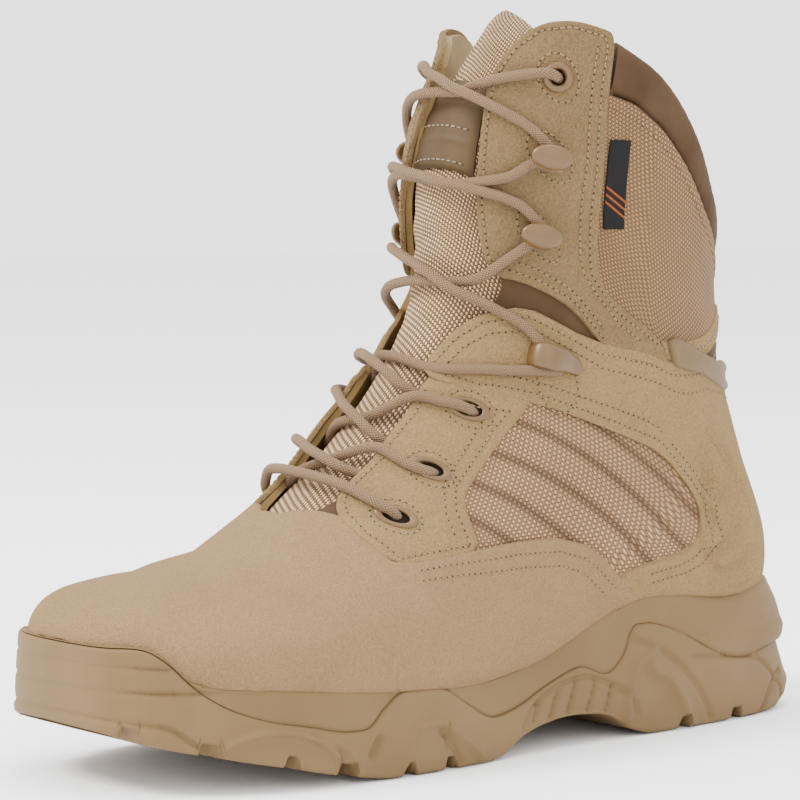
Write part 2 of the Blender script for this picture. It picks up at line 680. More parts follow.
def distance(points: np.ndarray, line: np.ndarray, closed: bool = True) -> np.ndarray:
    """Distance of flat points from a flat line."""
    starts = line if closed else line[:-1]
    stops = np.roll(line, -1, 0) if closed else line[1:]
    best = np.full(len(points), 1e9)
    runs = stops - starts
    sizes = np.maximum((runs**2).sum(1), 1e-12)
    for first in range(0, len(points), 2000):
        chunk = points[first:first + 2000]
        away = chunk[:, None, :] - starts[None]
        share = np.clip((away * runs[None]).sum(2) / sizes[None], 0, 1)
        near = np.linalg.norm(away - share[..., None] * runs[None], axis=2)
        best[first:first + 2000] = near.min(1)
    return best


def within(points: np.ndarray, loop: np.ndarray) -> np.ndarray:
    """Whether flat points lie inside a flat loop."""
    odd = np.zeros(len(points), bool)
    for p, q in zip(loop, np.roll(loop, -1, 0)):
        if p[1] == q[1]:
            continue
        crosses = (p[1] > points[:, 1]) != (q[1] > points[:, 1])
        odd ^= crosses & (points[:, 0] < (q[0] - p[0]) * (points[:, 1] - p[1]) / (q[1] - p[1]) + p[0])
    return odd


def unit(rows: np.ndarray) -> np.ndarray:
    """Directions of rows, each one long."""
    return rows / np.maximum(np.linalg.norm(rows, axis=-1, keepdims=True), 1e-12)


def lengths(places: np.ndarray) -> np.ndarray:
    """Length along a line at each of its places."""
    return np.r_[0, np.cumsum(np.linalg.norm(np.diff(places, axis=0), axis=1))]


def offset(line: np.ndarray, shift: float, closed: bool = True) -> np.ndarray:
    """Flat line moved to its left by a distance."""
    after = np.roll(line, -1, 0) if closed else np.vstack([line[1:], line[-1:]])
    before = np.roll(line, 1, 0) if closed else np.vstack([line[:1], line[:-1]])
    run = unit(after - before)
    return line + np.stack([-run[:, 1], run[:, 0]], 1) * shift


def area_of(loop: np.ndarray) -> float:
    """Signed area of a flat loop."""
    after = np.roll(loop, -1, 0)
    return float((loop[:, 0] * after[:, 1] - after[:, 0] * loop[:, 1]).sum() / 2)


Relief = Callable[[np.ndarray, np.ndarray], np.ndarray]
# Rows of points beside a sheet's edge, holes and seams, how far its grid keeps off them, and its hidden depth
EDGE_ROWS, SEAM_ROWS, HOLE_ROW = (.22, .55, 1.1), (-.65, 0, .65), .6
EDGE_CLEAR, LINE_CLEAR, HIDDEN = 1.5, 1.0, .55


def over_front(angle: np.ndarray) -> np.ndarray:
    """Angles with those past the front line mirrored to the outer side."""
    return np.where(angle > 90, 180 - angle, angle)


def round_back(angle: np.ndarray) -> np.ndarray:
    """Angles with those past the back line mirrored to the outer side."""
    return np.where(angle < -90, -180 - angle, angle)


def away_from(line: np.ndarray, k: np.ndarray, angle: np.ndarray, closed: bool = True) -> np.ndarray:
    """Flat distance of places on the last from a flat line."""
    flat = np.stack(np.broadcast_arrays(k, angle), -1).reshape(-1, 2) * DOMAIN
    return distance(flat, line, closed).reshape(np.broadcast(k, angle).shape)


def creases(k: np.ndarray, angle: np.ndarray) -> np.ndarray:
    """Main creases of the whole upper, in millimetres outward: soft troughs and ridges by hand."""
    side = round_back(over_front(angle))
    rise = np.zeros(np.broadcast(k, angle).shape)
    for at_k, at_angle, slope, size_k, size_angle, depth in CREASES:
        line = at_k + slope * (side - at_angle)
        rise += depth * np.exp(-((k - line) / size_k)**2 - ((side - at_angle) / size_angle)**2)
    return rise


def flare(k: np.ndarray, angle: np.ndarray) -> np.ndarray:
    """How far the throat's edge stands off the last, more on the inner side, as the lacing leaves it."""
    side = over_front(angle)
    low, top = smooth(7.2, 8.6, k) * (1 - smooth(10.8, 11.8, k)), smooth(12.2, 13.4, k)
    return smooth(38, 66, side) * (low * np.where(angle > 90, 3.0, .5) - top * np.where(angle > 90, .6, .2))


@dataclass
class Sheet:
    """Leather or cloth sheet cut to an outline on the last, with rolled edges, holes and sewn lines."""

    name: str
    corners: Corners
    slot: Finish
    low: float = BED
    thick: float = PANEL
    step: float = 1.5
    edge: float = .8
    holes: Sequence[Corners] = ()
    seams: Sequence[np.ndarray] = ()
    relief: Optional[Relief] = None
    loose: bool = True

    def rise(self, k: np.ndarray, angle: np.ndarray) -> np.ndarray:
        """Relief of the whole sheet over the last."""
        rise = creases(k, angle) + (flare(k, angle) if self.loose else 0.0)
        return rise + (self.relief(k, angle) if self.relief else 0.0)

    def free_spots(self, loop: np.ndarray, holes: Sequence[np.ndarray]) -> np.ndarray:
        """Flat places inside the outline: an even grid, and rows beside its edges, holes and seams."""
        lows, highs = loop.min(0), loop.max(0)
        xs = np.arange(lows[0] + .3, highs[0], self.step)
        ys = np.arange(lows[1] + .3, highs[1], self.step * .9)
        grid = np.stack(np.meshgrid(xs, ys, indexing="ij"), -1)
        grid[:, 1::2, 0] += self.step / 2
        spots = grid.reshape(-1, 2)
        clear = distance(spots, loop) > EDGE_CLEAR
        for line in self.seams:
            clear &= distance(spots, line, False) > LINE_CLEAR
        for hole in holes:
            clear &= distance(spots, hole) > LINE_CLEAR
        rows = [spots[clear]]
        for shift in EDGE_ROWS:
            ring = offset(loop, shift)
            rows.append(ring[distance(ring, loop) > shift * .85])
        rows += [offset(hole, -HOLE_ROW if area_of(hole) > 0 else HOLE_ROW) for hole in holes]
        rows += [offset(seam, shift, False) for seam in self.seams for shift in SEAM_ROWS]
        return np.vstack(rows)

    def flat_mesh(self) -> tuple[np.ndarray, np.ndarray, list[np.ndarray]]:
        """Flat points and triangles of the sheet, and its rims."""
        loop = loop_of(self.corners, self.step)
        if area_of(loop) < 0:
            loop = loop[::-1]
        holes = [loop_of(hole, .8) for hole in self.holes]

        def inside(spots: np.ndarray) -> np.ndarray:
            """Whether flat places are in the sheet and in none of its holes."""
            keep = within(spots, loop)
            for hole in holes:
                keep &= ~within(spots, hole)
            return keep

        free = self.free_spots(loop, holes)
        points, edges = [], []
        for rim in [loop] + holes:
            base = len(points)
            points += [Vector(p) for p in rim]
            edges += [(base + j, base + (j + 1) % len(rim)) for j in range(len(rim))]
        points += [Vector(p) for p in free[inside(free)]]
        found = delaunay_2d_cdt(points, edges, [], 0, 1e-5)
        flat = np.array([tuple(p) for p in found[0]])
        faces = np.array([tuple(face) for face in found[2] if len(face) == 3])
        faces = faces[inside(flat[faces].mean(1))]
        used = np.unique(faces)
        index = np.full(len(flat), -1)
        index[used] = np.arange(len(used))
        return flat[used], index[faces], [loop] + holes

    def build(self, *replaced: str) -> Thing:
        """Build the sheet.

        Args:
            replaced: CAD nodes that it stands for.

        Returns:
            The sheet's object.
        """
        flat, faces, rims = self.flat_mesh()
        away = np.min([distance(flat, rim) for rim in rims], axis=0)
        roll = .45 + .55 * round_off(away / self.edge)
        groove = np.zeros(len(flat))
        for seam in self.seams:
            groove = np.maximum(groove, np.exp(-(distance(flat, seam, False) / .5)**2))
        k, angle = (flat / DOMAIN).T
        lift = self.rise(k, angle)
        top = world(shoe_points(k, angle, self.low + self.thick * roll - .2 * groove + lift))
        under = world(shoe_points(k, angle, self.low - HIDDEN + lift))
        # the way round of a face follows from the way its corners turn about the surface
        first = faces[0]
        _, out = frames(k[first].mean(), angle[first].mean(), self.low)
        turn = np.cross(top[first[1]] - top[first[0]], top[first[2]] - top[first[0]])
        if float(np.dot(turn, out)) < 0:
            faces = faces[:, ::-1]
        skins = two_skins(faces, len(flat))
        made = piece(self.name, np.vstack([top, under]), skins, [self.slot], uv=np.vstack([flat, flat]) * MM)
        if replaced:
            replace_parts(made, *replaced)
        return made


def frames(k: np.ndarray, angle: np.ndarray, grow: np.ndarray) -> tuple[np.ndarray, np.ndarray]:
    """World places on the grown last and the outward unit normals there."""
    here = world(shoe_points(k, angle, grow))
    k, angle, grow = np.asarray(k), np.asarray(angle), np.asarray(grow)
    round_way = world(shoe_points(k, angle + .5, grow)) - world(shoe_points(k, angle - .5, grow))
    long_way = world(shoe_points(k + .03, angle, grow)) - world(shoe_points(k - .03, angle, grow))
    out = unit(np.cross(round_way, long_way))
    away = world(shoe_points(k, angle, grow + 1)) - here
    return here, out * np.sign((out * away).sum(-1, keepdims=True))


def ring_row(k: float, angle: float, size_round: float, size_along: float, tilt: float = 0.0) -> Corners:
    """Oval outline about a place on the last, half sizes in millimetres round and along."""
    here = shoe_points(k, angle, 2.0)
    per_k = np.linalg.norm(shoe_points(k + .05, angle, 2.0) - here) / .05
    per_angle = np.linalg.norm(shoe_points(k, angle + 1, 2.0) - here)
    rows = []
    for i in range(22):
        turn = math.tau * i / 22
        u, v = size_round * math.cos(turn), size_along * math.sin(turn)
        u, v = u * math.cos(tilt) - v * math.sin(tilt), u * math.sin(tilt) + v * math.cos(tilt)
        rows.append((k + v / per_k, angle + u / per_angle))
    return rows


@dataclass
class Sewing:
    """Rows of stitches: thread over the leather and the needle holes between, one stitch copied."""

    pitch: float = 2.3
    thread: list[np.ndarray] = field(default_factory=list)
    pale: list[np.ndarray] = field(default_factory=list)
    holes: list[np.ndarray] = field(default_factory=list)

    def along(self, line: np.ndarray, grow: float, *, pale: bool = False, closed: bool = False,
              relief: Optional[Relief] = None, loose: bool = True) -> None:
        """Sew along a flat line.

        Args:
            line: flat line in millimetres.
            grow: height of the leather's face over the last.
            pale: whether the thread is pale.
            closed: whether the line ends where it starts.
            relief: relief of the leather that it is sewn through.
            loose: whether the leather flares with the throat.
        """
        if closed:
            line = np.vstack([line, line[:1]])
        k, angle = (line / DOMAIN).T
        lift = creases(k, angle) + (flare(k, angle) if loose else 0) + (relief(k, angle) if relief else 0)
        places, normals = frames(k, angle, grow + lift)
        steps = lengths(places)
        count = int(steps[-1] / (self.pitch * MM))
        if count < 2:
            return
        marks = np.arange(count + 1) * steps[-1] / count
        spots, outs = (np.stack([np.interp(marks, steps, rows[:, i]) for i in range(3)], -1)
                       for rows in (places, normals))
        outs = unit(outs)
        ways = unit(spots[1:] - spots[:-1])
        out = outs[:-1] + outs[1:]
        out = unit(out - (out * ways).sum(1, keepdims=True) * ways)
        middles = (spots[1:] + spots[:-1]) / 2
        (self.pale if pale else self.thread).append(np.stack([ways, np.cross(out, ways), out, middles], 1))
        side = unit(np.cross(outs, np.vstack([ways, ways[-1:]])))
        self.holes.append(np.stack([np.cross(side, outs), side, outs, spots], 1))

    def build(self) -> None:
        """Copy one modelled stitch and one needle hole to every place, joined by finish."""
        stitch = template(lambda: bpy.ops.mesh.primitive_uv_sphere_add(segments=6, ring_count=4, radius=1.0))
        hole = template(lambda: bpy.ops.mesh.primitive_circle_add(vertices=7, radius=1.0, fill_type="TRIFAN"))
        size = np.array([self.pitch * .46, .36, .34]) * MM
        scatter("stitches", stitch, np.vstack(self.thread), size, .02 * MM, Finish.THREAD)
        scatter("stitches_pale", stitch, np.vstack(self.pale), size, .02 * MM, Finish.PALE_THREAD)
        scatter("needle_holes", hole, np.vstack(self.holes), np.array([.42, .34, 1.0]) * MM, .07 * MM, Finish.NEEDLE)


Shape = tuple[np.ndarray, list[tuple[int, ...]]]


def template(make: Callable[[], object], finish_off: Optional[Callable[[Thing], None]] = None) -> Shape:
    """Points and faces of a piece modelled once with operators.

    Args:
        make: call that adds the primitive.
        finish_off: call that shapes it further.

    Returns:
        Its points and faces.
    """
    bpy.ops.object.select_all(action="DESELECT")
    make()
    made = bpy.context.object
    if finish_off:
        finish_off(made)
    bpy.ops.object.select_all(action="DESELECT")
    made.select_set(True)
    bpy.context.view_layer.objects.active = made
    bpy.ops.object.transform_apply(location=True, rotation=True, scale=True)
    points = np.array([tuple(vertex.co) for vertex in made.data.vertices])
    faces = [tuple(face.vertices) for face in made.data.polygons]
    mesh = made.data
    bpy.data.objects.remove(made, do_unlink=True)
    bpy.data.meshes.remove(mesh)
    return points, faces


def scatter(name: str, shape: Shape, places: np.ndarray, size: np.ndarray, lift: float, slot: Finish) -> Thing:
    """Copies of a shape at many places, joined in one mesh.

    Args:
        name: name of the joined piece.
        shape: points and faces of one.
        places: for each copy its three directions and its place.
        size: size of the shape in metres.
        lift: height over the place in metres.
        slot: finish.

    Returns:
        The joined object.
    """
    points, faces = shape
    local = points * size
    uneven = np.random.default_rng(len(places)).uniform(.72, 1.12, (len(places), 1, 3))
    spots = np.einsum("pni,pij->pnj", local * uneven, places[:, :3]) + places[:, None, 3] + places[:, None, 2] * lift
    count = len(points)
    every = [tuple(v + count * i for v in face) for i in range(len(places)) for face in faces]
    return piece(name, spots.reshape(-1, 3), every, [slot])


def placed(name: str, shape: Shape, spot: np.ndarray, axes: np.ndarray, slots: Sequence[Finish],
           choice: Optional[Sequence[int]] = None, crease: float = 40.0) -> Thing:
    """One copy of a modelled shape, its millimetres turned into place by its three directions."""
    points, faces = shape
    return outward(piece(name, points * MM @ axes + spot, faces, slots, choice=choice, crease=crease))


def tube(name: str, places: np.ndarray, ups: np.ndarray, radius: float, slot: Finish, sides: int = 14) -> Thing:
    """Round cord through world places, with U round it and V along it in metres."""
    ahead = unit(np.gradient(places, axis=0))
    side = unit(np.cross(ahead, ups))
    up = np.cross(side, ahead)
    turns = np.linspace(0, math.tau, sides + 1)
    around = side[:, None] * np.cos(turns)[None, :, None] + up[:, None] * np.sin(turns)[None, :, None]
    rings = places[:, None] + around * radius
    count, wide = len(places), sides + 1
    length = lengths(places)
    cloth = np.stack(np.broadcast_arrays(turns[None] * radius, length[:, None]), -1).reshape(-1, 2)
    faces = strips(count, wide, False)
    points = np.vstack([rings.reshape(-1, 3), places[:1], places[-1:]])
    cloth = np.vstack([cloth, [[0, 0]], [[0, length[-1]]]])
    near, far = count * wide, count * wide + 1
    faces += [(near, j + 1, j) for j in range(sides)]
    faces += [(far, (count - 1) * wide + j, (count - 1) * wide + j + 1) for j in range(sides)]
    return outward(piece(name, points, faces, [slot], uv=cloth, crease=180), 2e-6)


def spline(points: Sequence[Sequence[float]], per: int) -> np.ndarray:
    """Smooth line through points, with a number of places between each pair."""
    spots = np.array(points, float)
    spots = np.vstack([2 * spots[0] - spots[1], spots, 2 * spots[-1] - spots[-2]])
    rows = []
    for i in range(1, len(spots) - 2):
        p0, p1, p2, p3 = spots[i - 1:i + 3]
        for t in np.arange(per) / per:
            bend, twist = 2 * p0 - 5 * p1 + 4 * p2 - p3, 3 * p1 - p0 - 3 * p2 + p3
            rows.append(.5 * (2 * p1 + (p2 - p0) * t + bend * t**2 + twist * t**3))
    return np.array(rows + [spots[-2]])


def loft(name: str, rings: np.ndarray, slot: Finish, cloth: Optional[np.ndarray] = None,
         crease: float = 50.0) -> Thing:
    """Closed solid through rings of world places, each end closed from its face to its back."""
    count, wide = rings.shape[:2]
    faces = strips(count, wide)
    for base in (0, (count - 1) * wide):
        faces += [(base + j, base + j + 1, base + wide - 2 - j, base + wide - 1 - j) for j in range(wide // 2 - 1)]
    uv = None if cloth is None else cloth.reshape(-1, 2)
    return outward(piece(name, rings.reshape(-1, 3), faces, [slot], uv=uv, crease=crease))


# Creases by hand: station, angle, stations gained per degree, size in stations and degrees, depth in mm
CREASES = (
    (5.9, 62, .012, .30, 26, -.9), (5.2, 66, .010, .35, 24, .5), (4.6, 60, .010, .30, 22, -.5),
    (6.3, 22, -.02, .35, 16, -.5), (5.2, 8, -.03, .40, 16, .45), (9.2, -22, .02, .45, 14, -.5),
    (11.9, 22, -.018, .22, 24, -.5), (11.2, -22, -.02, .35, 16, .4), (12.9, -30, -.03, .3, 16, -.5),
    (13.6, -30, -.010, .35, 40, -.7), (14.4, -50, -.012, .40, 35, .6), (13.0, 40, .02, .30, 20, -.5),
    (14.9, 52, .01, .30, 16, .5), (10.4, 62, .0, .25, 14, -.6), (8.8, 58, .0, .3, 12, -.4),
)
HEEL_RIDGES = (
    ((12.13, -13), (11.72, -8.5)), ((12.20, -20), (11.35, -8.5)), ((11.93, -26), (10.87, -10)),
    ((11.68, -34.5), (10.84, -18)),
)
RIDGE_HEIGHT, RIDGE_HALF, VALLEY_DEPTH, VALLEY_AT, VALLEY_HALF = 1.8, 1.4, .7, 3.0, 1.2


def heel_relief(k: np.ndarray, angle: np.ndarray) -> np.ndarray:
    """Four soft curved ridges pressed in the heel on each side."""
    side = round_back(angle)
    rise = np.zeros(np.broadcast(k, angle).shape)
    for start, stop in HEEL_RIDGES:
        p, q = np.array(start) * DOMAIN, np.array(stop) * DOMAIN
        bow = (p + q) / 2 + np.array([q[1] - p[1], p[0] - q[0]]) * .12
        away = away_from(np.array([p, bow, q]), k, side, False)
        rise += RIDGE_HEIGHT * np.exp(-(away / RIDGE_HALF)**2)
        rise -= VALLEY_DEPTH * np.exp(-((away - VALLEY_AT) / VALLEY_HALF)**2)
    return rise


def window_relief(k: np.ndarray, angle: np.ndarray) -> np.ndarray:
    """Five padded channels of the window, running down to the rear and closing up there."""
    side = over_front(angle)
    u, v = k * PER_STATION - WINDOW_AT[0], side * PER_DEGREE - WINDOW_AT[1]
    fan = u + v * (FAN_SLOPE + FAN_BEND * v) - FAN_START
    away = away_from(loop_of(WINDOW, 2.0), k, side)
    return 1.5 * np.abs(np.sin(fan * math.pi / CHANNEL_PITCH))**.6 * smooth(4.0, 8.5, away)


def rib_relief(k: np.ndarray, angle: np.ndarray) -> np.ndarray:
    """Ribs across the seam strip under the collar."""
    return .16 * np.sin(angle * PER_DEGREE * math.pi) + 0 * k


WINDOW = (
    (9.90, 41), (10.28, 38.5), (11.10, 17), (11.50, 3), (11.36, -8), (10.80, -12), (10.1, -11.5), (9.30, -7),
    (8.95, 3), (8.40, 11), (7.80, 18), (7.85, 34), (8.2, 41),
)
CLOTH_LOW = ((12.70, 17), (12.92, 5), (12.95, -3), (13.25, -12), (14.72, -53), (15.02, -90))


@dataclass
class Upper:
    """Hollow upper: its lining shell with the cloth that shows between the leather panels."""

    rows: int = 170
    columns: int = 46
    wall: float = WALL

    def shell(self) -> None:
        """Dense shell that stands for the CAD upper, dark leather outside and pale lining inside."""
        toe, rest = np.linspace(0, 1, 22)**1.6 * 2, np.linspace(2, 14.7, self.rows)
        base = np.unique(np.round(np.r_[toe, rest, 6.62, 6.68, 11.4], 4))
        grid = []
        for side in (0, 1):
            half = []
            for k in base:
                low = table(MARGIN, k) if 2.0 <= k <= 11.4 else -90.0
                high = table(THROAT, k) if k >= 6.62 else 90.0
                half.append(np.stack([np.full(self.columns, k), np.linspace(low, high, self.columns)], 1))
            rim = half[-1]
            top = np.where(rim[:, 1] >= 18, table(FACING_TOP, rim[:, 1]) - .10, table(FABRIC_TOP, rim[:, 1]))
            for share in np.linspace(0, 1, 16)[1:]:
                half.append(np.stack([rim[:, 0] + (top - rim[:, 0]) * share, rim[:, 1]], 1))
            half = np.array(half)
            if side:
                half[..., 1] = 180 - lap(half[..., 0], half[..., 1])
            grid.append(half)
        spots = np.array(grid)
        spots[:, 0, :, 1] = 90.0
        places = shoe_points(spots[..., 0], spots[..., 1], 0.0)
        keys = np.round(places.reshape(-1, 3) * 37.3).astype(int)
        _, first, back = np.unique(keys, axis=0, return_index=True, return_inverse=True)
        ids = np.ravel(back).reshape(spots.shape[:3])
        flat = spots.reshape(-1, 2)[first]
        faces = []
        for side in (0, 1):
            p, q = ids[side, :-1, :-1], ids[side, :-1, 1:]
            r, s = ids[side, 1:, 1:], ids[side, 1:, :-1]
            quads = np.stack([p, q, r, s] if side == 0 else [s, r, q, p], -1).reshape(-1, 4)
            for quad in quads:
                corners = [int(v) for n, v in enumerate(quad) if v != quad[n - 1]]
                if len(corners) > 2:
                    faces.append(tuple(corners))
        lift = creases(flat[:, 0], flat[:, 1]) + flare(flat[:, 0], flat[:, 1])
        points = np.vstack([world(shoe_points(flat[:, 0], flat[:, 1], lift - deep)) for deep in (0.0, self.wall)])
        skins = two_skins(faces, len(flat))
        choice = [0] * len(faces) + [1] * (len(skins) - len(faces))
        made = outward(piece("upper_shell", points, skins, [Finish.LINING, Finish.INSIDE], choice=choice))
        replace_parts(made, "upper")

    def cloth(self, sewing: Sewing) -> None:
        """Cloth of the shaft and the windows, with the strips along its top and bottom seams.

        Args:
            sewing: takes the strips' stitches.
        """
        top = [(k - .03, angle) for angle, k in FABRIC_TOP]
        top[-1] = (top[-1][0], 19.0)
        bottom = list(CLOTH_LOW)
        ring = top[::-1] + behind(top)[::-1][1:]
        outline = ring + behind(bottom)[::-1] + bottom[:-1][::-1]
        Sheet("shaft_cloth", outline, Finish.SHAFT_CLOTH, .05, .55, 2.2, .5).build()
        Sheet("collar_seam_strip", moved(ring, -.01) + moved(ring, -.20)[::-1], Finish.SHAFT_CLOTH, .35, .7, 1.2, .7,
              relief=rib_relief).build()
        line = bottom[2:] + behind(bottom[2:-1])
        Sheet("shaft_seam_strip", moved(line, .10) + moved(line, -.16)[::-1], Finish.BODY_SUEDE, .3, 1.1, 1.2,
              .9).build()
        sewing.along(path_of(moved(line, -.03)), 1.45, pale=True)
        sewing.along(path_of(moved(line, -.34)), .05, pale=True)
        for side in Side:
            Sheet(f"window_{side.value}", on_side(WINDOW, side), Finish.WINDOW_CLOTH, .15, .5, 1.0, .5,
                  relief=window_relief).build()


@dataclass
class Tongue:
    """Padded cloth tongue with its leather patch."""

    spread: float = 50.0
    padding: float = 6.0
    columns: int = 41

    def face(self, k: np.ndarray, angle: np.ndarray) -> np.ndarray:
        """Bulge and sink of the tongue's face."""
        turn = (angle - 90) / self.spread
        return curve(TONGUE, 3, k) * np.maximum(0, 1 - (turn / .45)**2) - curve(TONGUE, 2, k)

    def bulge(self, k: np.ndarray, angle: np.ndarray) -> np.ndarray:
        """How far the tongue's face stands out, without the upper's creases."""
        return self.face(k, angle) - creases(k, angle)

    def place(self, k: np.ndarray, angle: np.ndarray, depth: np.ndarray) -> np.ndarray:
        """Places of the tongue at a depth below its face."""
        turn = (angle - 90) / self.spread
        folds = .5 * np.sin(k * 9.0) * np.exp(-((k - 11.4) / .9)**2)
        folds = folds + .35 * np.sin(k * 14 + 1) * np.exp(-((k - 10.6) / .5)**2)
        drop = curve(TONGUE, 1, k) * .9 * np.abs(turn)**2.7
        return world(shoe_points(k - drop, angle, TONGUE_FACE + self.face(k, angle) + folds - depth))

    def ring(self, k: float, angles: np.ndarray, face: np.ndarray, back: np.ndarray) -> np.ndarray:
        """Section at a station: its front from side to side and its back the other way, by their depths."""
        return np.vstack([self.place(k, angles, face), self.place(k, angles, back)[::-1]])

    def build(self, sewing: Sewing) -> None:
        """Tongue and patch.

        Args:
            sewing: takes the patch's stitches.
        """
        ks = np.linspace(TONGUE[0][0], TONGUE[-1][0], 150)
        angles = np.linspace(90 - self.spread, 90 + self.spread, self.columns)
        turn = np.abs(angles - 90) / self.spread
        rings, cloth = [], []
        for n, k in enumerate(ks):
            part = round_off((min(n, len(ks) - 1 - n) + .6) / 6)
            middle = (1.8 + (self.padding - 1.8) * (1 - turn**3)) / 2
            rings.append(self.ring(k, angles, middle - middle * part, middle + middle * part))
            u = np.r_[angles * .9, angles[::-1] * .9] * MM
            cloth.append(np.stack([u, np.full(len(u), k * PER_STATION * MM)], 1))
        made = loft("tongue_cloth", np.array(rings), Finish.TONGUE_CLOTH, np.array(cloth), 60)
        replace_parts(made, "tongue")
        ks = np.linspace(13.10, 15.05, 40)
        angles = np.linspace(68, 112, 25)
        rings = []
        for n, k in enumerate(ks):
            roll = round_off((min(n, len(ks) - 1 - n) + .3) / 3) * round_off((22.4 - np.abs(angles - 90)) / 3)
            ridge = .5 * math.exp(-((k - 14.62) / .05)**2) + .4 * math.exp(-((k - 13.72) / .05)**2)
            rings.append(self.ring(k, angles, -.25 - 1.25 * roll - ridge, -.1))
        made = loft("tongue_patch_leather", np.array(rings), Finish.PATCH)
        for k in (13.28, 14.0):
            line = path_of([(k, 73 + 2 * i) for i in range(18)])
            sewing.along(line, TONGUE_FACE + 1.5, pale=True, relief=self.bulge, loose=False)
        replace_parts(made, "tongue_patch")


@dataclass
class Collar:
    """Padded leather collar round the top of the shaft."""

    padding: float = 6.0
    end: float = 16.5

    def build(self) -> None:
        """Rolled collar that stands for the CAD collar, with a seam groove along its foot."""
        rings = []
        far = -180 - self.end
        for angle in np.linspace(self.end, far, 200):
            read = angle if angle >= -90 else -180 - angle
            low, high = table(FABRIC_TOP, read) + .02, table(COLLAR_TOP, read)
            end = smooth(0, 4, min(abs(angle - self.end), abs(angle - far)))
            profile = []
            size = (high - low) / 2
            middle = (high + low) / 2
            for turn in np.linspace(0, math.tau, 29)[:-1]:
                across, along = math.cos(turn), math.sin(turn)
                thick = (self.padding - .6) / 2 + 1.4
                grow = (1.35 - thick) + thick * np.sign(across) * abs(across)**.75
                spot = middle + size * np.sign(along) * abs(along)**.72
                profile.append((spot, grow))
            pucker = .10 * math.sin(angle * .9) * math.sin(angle * 2.3)
            spots, grows = np.array(profile).T
            rings.append(world(shoe_points(spots, angle, grows + pucker * end)))
        made = loft("collar_leather", np.array(rings), Finish.LINING, crease=70)
        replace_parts(made, "collar")


def inner_row(corners: Corners, shift: float, first: int = 0, last: Optional[int] = None) -> np.ndarray:
    """Line a distance inside an outline, all round or from one corner to another."""
    loop = loop_of(corners, 1.0)
    turn = 1.0 if area_of(loop) > 0 else -1.0
    if last is None:
        ring = offset(loop, shift * turn)
        return ring[distance(ring, loop) > shift * .93]
    chosen = [corners[i % len(corners)] for i in range(first, last + 1)]
    ring = offset(path_of(chosen), shift * turn, False)
    return ring[distance(ring, loop) > shift * .93]


def lap(k: np.ndarray, angle: np.ndarray) -> np.ndarray:
    """Side angle of the inner flap, whose edge the laces have drawn over the tongue's front."""
    return angle + 17 * smooth(44, 64, angle) * smooth(12.2, 13.6, k)


def lapped(corners: Corners, side: Side) -> list[tuple[float, float]]:
    """Facing's outline on one side, the inner one lapped over."""
    return list(corners) if side is Side.OUTER else over([(k, float(lap(k, angle))) for k, angle in corners])


def lapped_line(line: np.ndarray, side: Side) -> np.ndarray:
    """Flat line of the facing on one side, the inner one lapped over."""
    if side is Side.OUTER:
        return line
    k, angle = (line / DOMAIN).T
    return np.stack([k, 180 - lap(k, angle)], 1) * DOMAIN


def mirrored(line: np.ndarray, side: Side) -> np.ndarray:
    """Flat line as it is, or mirrored over the front of the last."""
    return line if side is Side.OUTER else np.stack([line[:, 0], 180 * PER_DEGREE - line[:, 1]], 1)


BODY_TOP = (
    (9.32, 68.5), (9.52, 70.5), (10.09, 67), (10.66, 60.5), (11.42, 45.5), (11.82, 24), (12.66, 1), (13.38, -21),
    (13.82, -40), (14.14, -65), (14.34, -90),
)
BODY_LOW = (
    (9.05, -14), (9.15, -6), (9.50, -3), (9.90, -5), (10.30, -8), (10.80, -8), (11.20, -4), (11.28, 3),
    (10.87, 15), (10.10, 36), (9.58, 50), (9.37, 60.5),
)
HEEL_KS = (9.10, 9.4, 9.67, 10.1, 10.5, 10.8, 11.05, 11.25, 11.4, 11.52, 11.62)
VAMP_KS = (9.55, 9.2, 8.6, 8.0, 7.3, 6.5, 5.7, 4.9, 4.2, 3.7, 3.4, 3.1, 2.8, 2.4, 2.0, 1.6, 1.2, .9, .65)


def meets_rim(place: Callable[[float], np.ndarray], low: float, high: float, lift: float) -> float:
    """Value between two others where a line of the last rises past the sole's rim, raised by lift."""
    for _ in range(30):
        mid = (low + high) / 2
        along, _, up = place(mid)
        low, high = (mid, high) if up < height(RIM, along) + lift else (low, mid)
    return (low + high) / 2


def rim_angle(k: float, lift: float) -> float:
    """Angle on the outer side where the last meets the raised rim."""
    return meets_rim(lambda angle: shoe_points(k, angle, PANEL), -90.0, 90.0, lift)


def rim_end(angle: float, low: float, high: float, lift: float) -> float:
    """Station between two others where the raised rim meets one line of the last."""
    return meets_rim(lambda k: shoe_points(k, angle, PANEL), low, high, lift)


FACING_CUT = FACING[:5] + (
    (16.87, 22), (16.85, 19.0), (16.60, 17.7), (15.95, 17.5), (14.66, 15.5), (13.79, 16.5), (12.97, 16.5),
    (12.84, 11.5), (13.05, -3.0), (12.60, -3.5), (12.15, 9), (11.92, 19), (12.08, 28),
) + FACING[16:]
QUARTER_CUT = ((9.40, 68.0),) + QUARTER[1:15] + ((10.28, 36.8), (9.80, 50), (9.52, 60.5))


